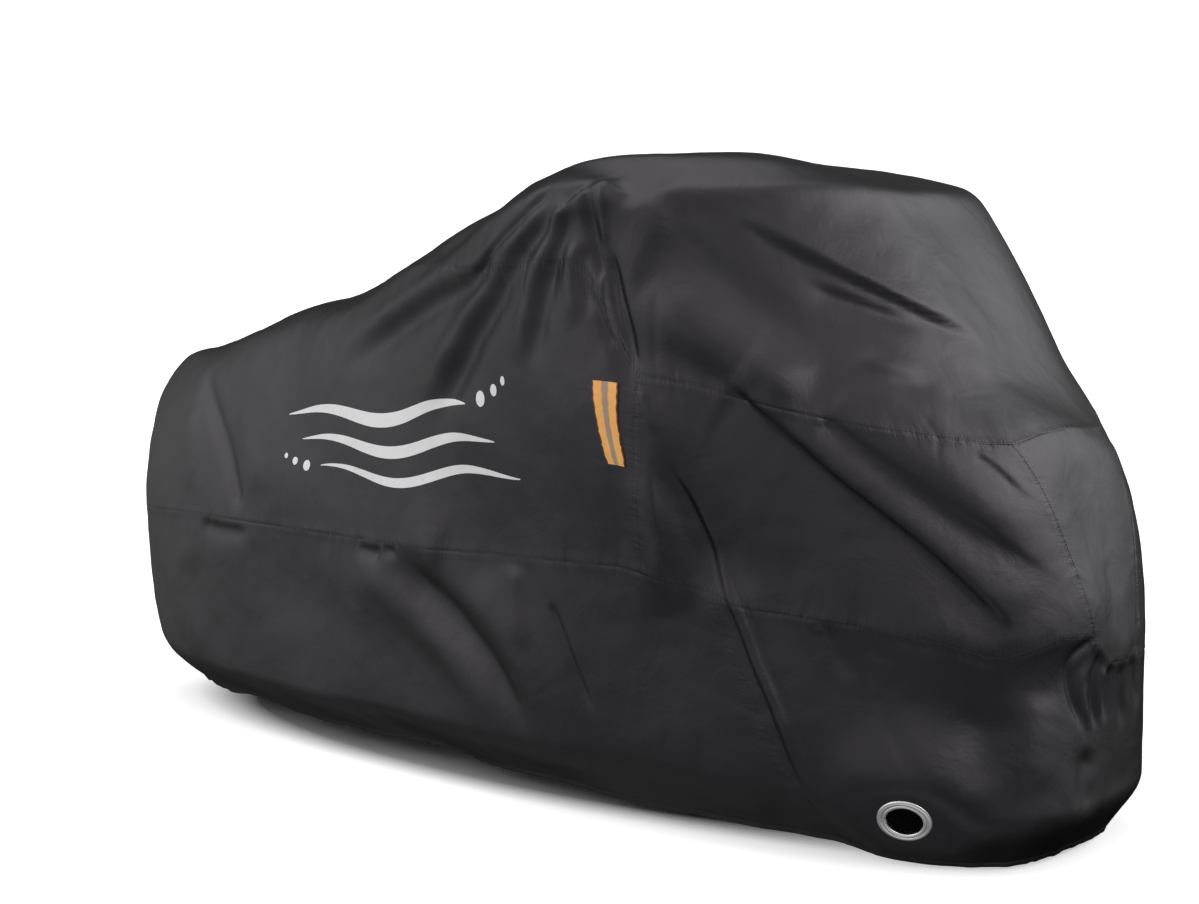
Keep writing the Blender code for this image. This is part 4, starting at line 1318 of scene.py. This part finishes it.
def build_cover():
    """Every piece by the node it stands for, and the trimmings that stand for none."""
    cloth_black = coated_polyester()
    metal = polished_metal()
    tape = reflective_tape()
    panels = (
        ("rear_wrap", "belly_wrap", "belly", round_the_rear("side seam")),
        ("rear_skirt", "skirt_round_the_rear", "skirt", round_the_rear("skirt seam")),
        ("front_skirt", "skirt_round_the_nose", "skirt", round_the_nose("skirt seam")),
        ("side_near", "near_side_panel", "belly",
         upright_columns("side seam", "nose seam", 1.0)),
        ("side_far", "far_side_panel", "belly",
         2.0 - upright_columns("side seam", "nose seam", FAR_PITCH)[::-1]),
        ("nose_panel", "nose_piece", "belly", round_the_nose("nose seam")),
    )
    pieces = {node: add_panel(name, band, columns, cloth_black, holed=node == "front_skirt")
              for node, name, band, columns in panels}
    pieces["top_panel"] = add_top_panel(cloth_black)
    pieces["eyelet"] = add_eyelet(metal)
    pieces["reflective_strip"] = add_strip(tape)
    return pieces, [add_stitches(thread_black()), add_print(white_print())]


# Each sheet before sewing: its width and length, its area and what it rests on
FLAT = {
    "rear_wrap": ((0.48, 3.90), 1.396, ["top_panel"]),
    "rear_skirt": ((0.46, 4.00), 1.488, ["rear_wrap"]),
    "front_skirt": ((0.46, 1.25), 0.40, ["side_near"]),
    "side_near": ((0.42, 0.62), 0.17, ["top_panel"]),
    "side_far": ((0.42, 0.62), 0.17, ["top_panel"]),
    "nose_panel": ((0.36, 0.34), 0.072, ["top_panel"]),
    "top_panel": ((1.10, 2.20), 1.454, []),
    "reflective_strip": ((0.044, 0.115), 0.0042, ["rear_wrap"]),
}


def declare(pieces, trimmings):
    """Attach every piece to the root, which it moves with, and hide the solid that it stands for.
    """
    for piece in trimmings:
        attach(piece, "root")
    for node, piece in pieces.items():
        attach(piece, "root")
        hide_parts(node)
        node in FLAT


# ------------------------------------------------------------------------------- the view

CAMERA_PLACE = Vector((2.065, -2.151, 0.672))
CAMERA_BEARING = math.radians(42.495)
CAMERA_PITCH = math.radians(-3.005)
CAMERA_LENS = 51.28

# Floor: segments round it, and its section outwards as radii and heights
FLOOR_SEGMENTS = 96
FLOOR_SECTION = pairs("3 0  6 0  9 0  11 .15  12.5 .75  13.5 1.9  14 3.6  14 9")
# It glows only outside an ellipse round the cover; inside it the glow is off, a painted shadow
# under the cover: the ellipse's stretch, start and end
FLOOR_STRETCH = (1.0, 3.0, 1.0)
SHINE_STARTS = 0.80
SHINE_FULL = 1.00


def add_camera():
    """The camera of the photograph's view."""
    camera = bpy.data.cameras.new("camera")
    camera.lens = CAMERA_LENS
    camera.sensor_width = 36.0
    camera.clip_start = 0.05
    camera.clip_end = 60.0
    thing = add_object("camera", camera)
    thing.location = CAMERA_PLACE
    thing.rotation_euler = (math.pi / 2 + CAMERA_PITCH, 0.0, CAMERA_BEARING)
    SCENE.camera = thing


def add_floor():
    """A pale floor that turns up into a far wall, as a photographer's roll of paper does, with a
    painted shadow under the cover.
    """
    angles = [math.tau * s / FLOOR_SEGMENTS for s in range(FLOOR_SEGMENTS)]
    vertices = [(0.0, 0.0, 0.0)]
    vertices += [(radius * math.cos(angle), radius * math.sin(angle), height)
                 for radius, height in FLOOR_SECTION.tolist() for angle in angles]
    faces = []
    for s in range(1, 1 + FLOOR_SEGMENTS):
        t = 1 + s % FLOOR_SEGMENTS
        faces.append((0, s, t))
        for a in range(0, len(vertices) - 1 - FLOOR_SEGMENTS, FLOOR_SEGMENTS):
            b = a + FLOOR_SEGMENTS
            faces.append((a + s, b + s, b + t, a + t))
    paint = Paint("pale floor")
    outwards = paint.node("ShaderNodeVectorMath", {"operation": "LENGTH"},
                          {0: paint.stretch(paint.place(), FLOOR_STRETCH)}, "Value")
    # Painted shadow: the floor's glow is off inside the ellipse round the cover, so the floor
    # under it is dark
    glow_outside_painted_shadow = paint.ramp(outwards, ((0.0, 0.0), (SHINE_STARTS, 0.0), (SHINE_FULL, 1.0)))
    paper = paint.finish((0.92, 0.92, 0.92), 0.9, Emission_Strength=0.55)
    paint.tree.links.new(glow_outside_painted_shadow.socket, paint.shader.inputs["Emission Color"])
    floor = add_mesh("floor", vertices, faces, np.zeros((len(vertices), 2)), paper)
    floor.visible_glossy = False
    floor.visible_diffuse = False


# Broad soft sources all round: by height, their bearings in degrees and strengths
GLOWS = {
    0: "0 .25  30 .45  60 .28  180 .28  210 .48  240 .52  270 .57  300 .4",
    28: "0 2.9  30 2.8  60 2  120 .06  180 .06  210 .9  240 1.3  300 .6  330 .35",
    55: "135 .06  180 .15  225 1.45  270 .75  315 .45",
    90: "0 2.25",
    -25: "0 .22  225 .3  270 .1  315 .08",
    -55: "0 .2  180 .2  240 .15  300 .7",
}
GLOW_TIGHTNESS = 16.0


def add_surroundings():
    """Soft light from all round, in front of a plain white ground."""
    world = bpy.data.worlds.new("studio")
    world.use_nodes = True
    SCENE.world = world
    studio = Nodes(world.node_tree)
    way = studio.node("ShaderNodeTexCoord", output="Generated")
    light = 0.0
    for height, glows in GLOWS.items():
        up = math.radians(height)
        for bearing, brightness in pairs(glows).tolist():
            side = math.radians(bearing)
            centre = (math.cos(side) * math.cos(up), math.sin(side) * math.cos(up), math.sin(up))
            near = studio.node("ShaderNodeVectorMath", {"operation": "DOT_PRODUCT"},
                               {0: way, 1: centre}, "Value")
            lobe = studio.node("ShaderNodeMath", {"operation": "EXPONENT"},
                               {0: (near - 1.0) * GLOW_TIGHTNESS})
            light = light + lobe * brightness
    seen = studio.node("ShaderNodeLightPath", output="Is Camera Ray")
    strength = light * (1.0 - seen) + seen
    background = world.node_tree.nodes["Background"]
    background.inputs["Color"].default_value = (1.0, 1.0, 1.0, 1.0)
    world.node_tree.links.new(strength.socket, background.inputs["Strength"])


def main():
    """Build the cover, the floor, the light and the camera."""
    add_camera()
    declare(*build_cover())
    add_floor()
    add_surroundings()
    SCENE.view_settings.view_transform = "Standard"


main()
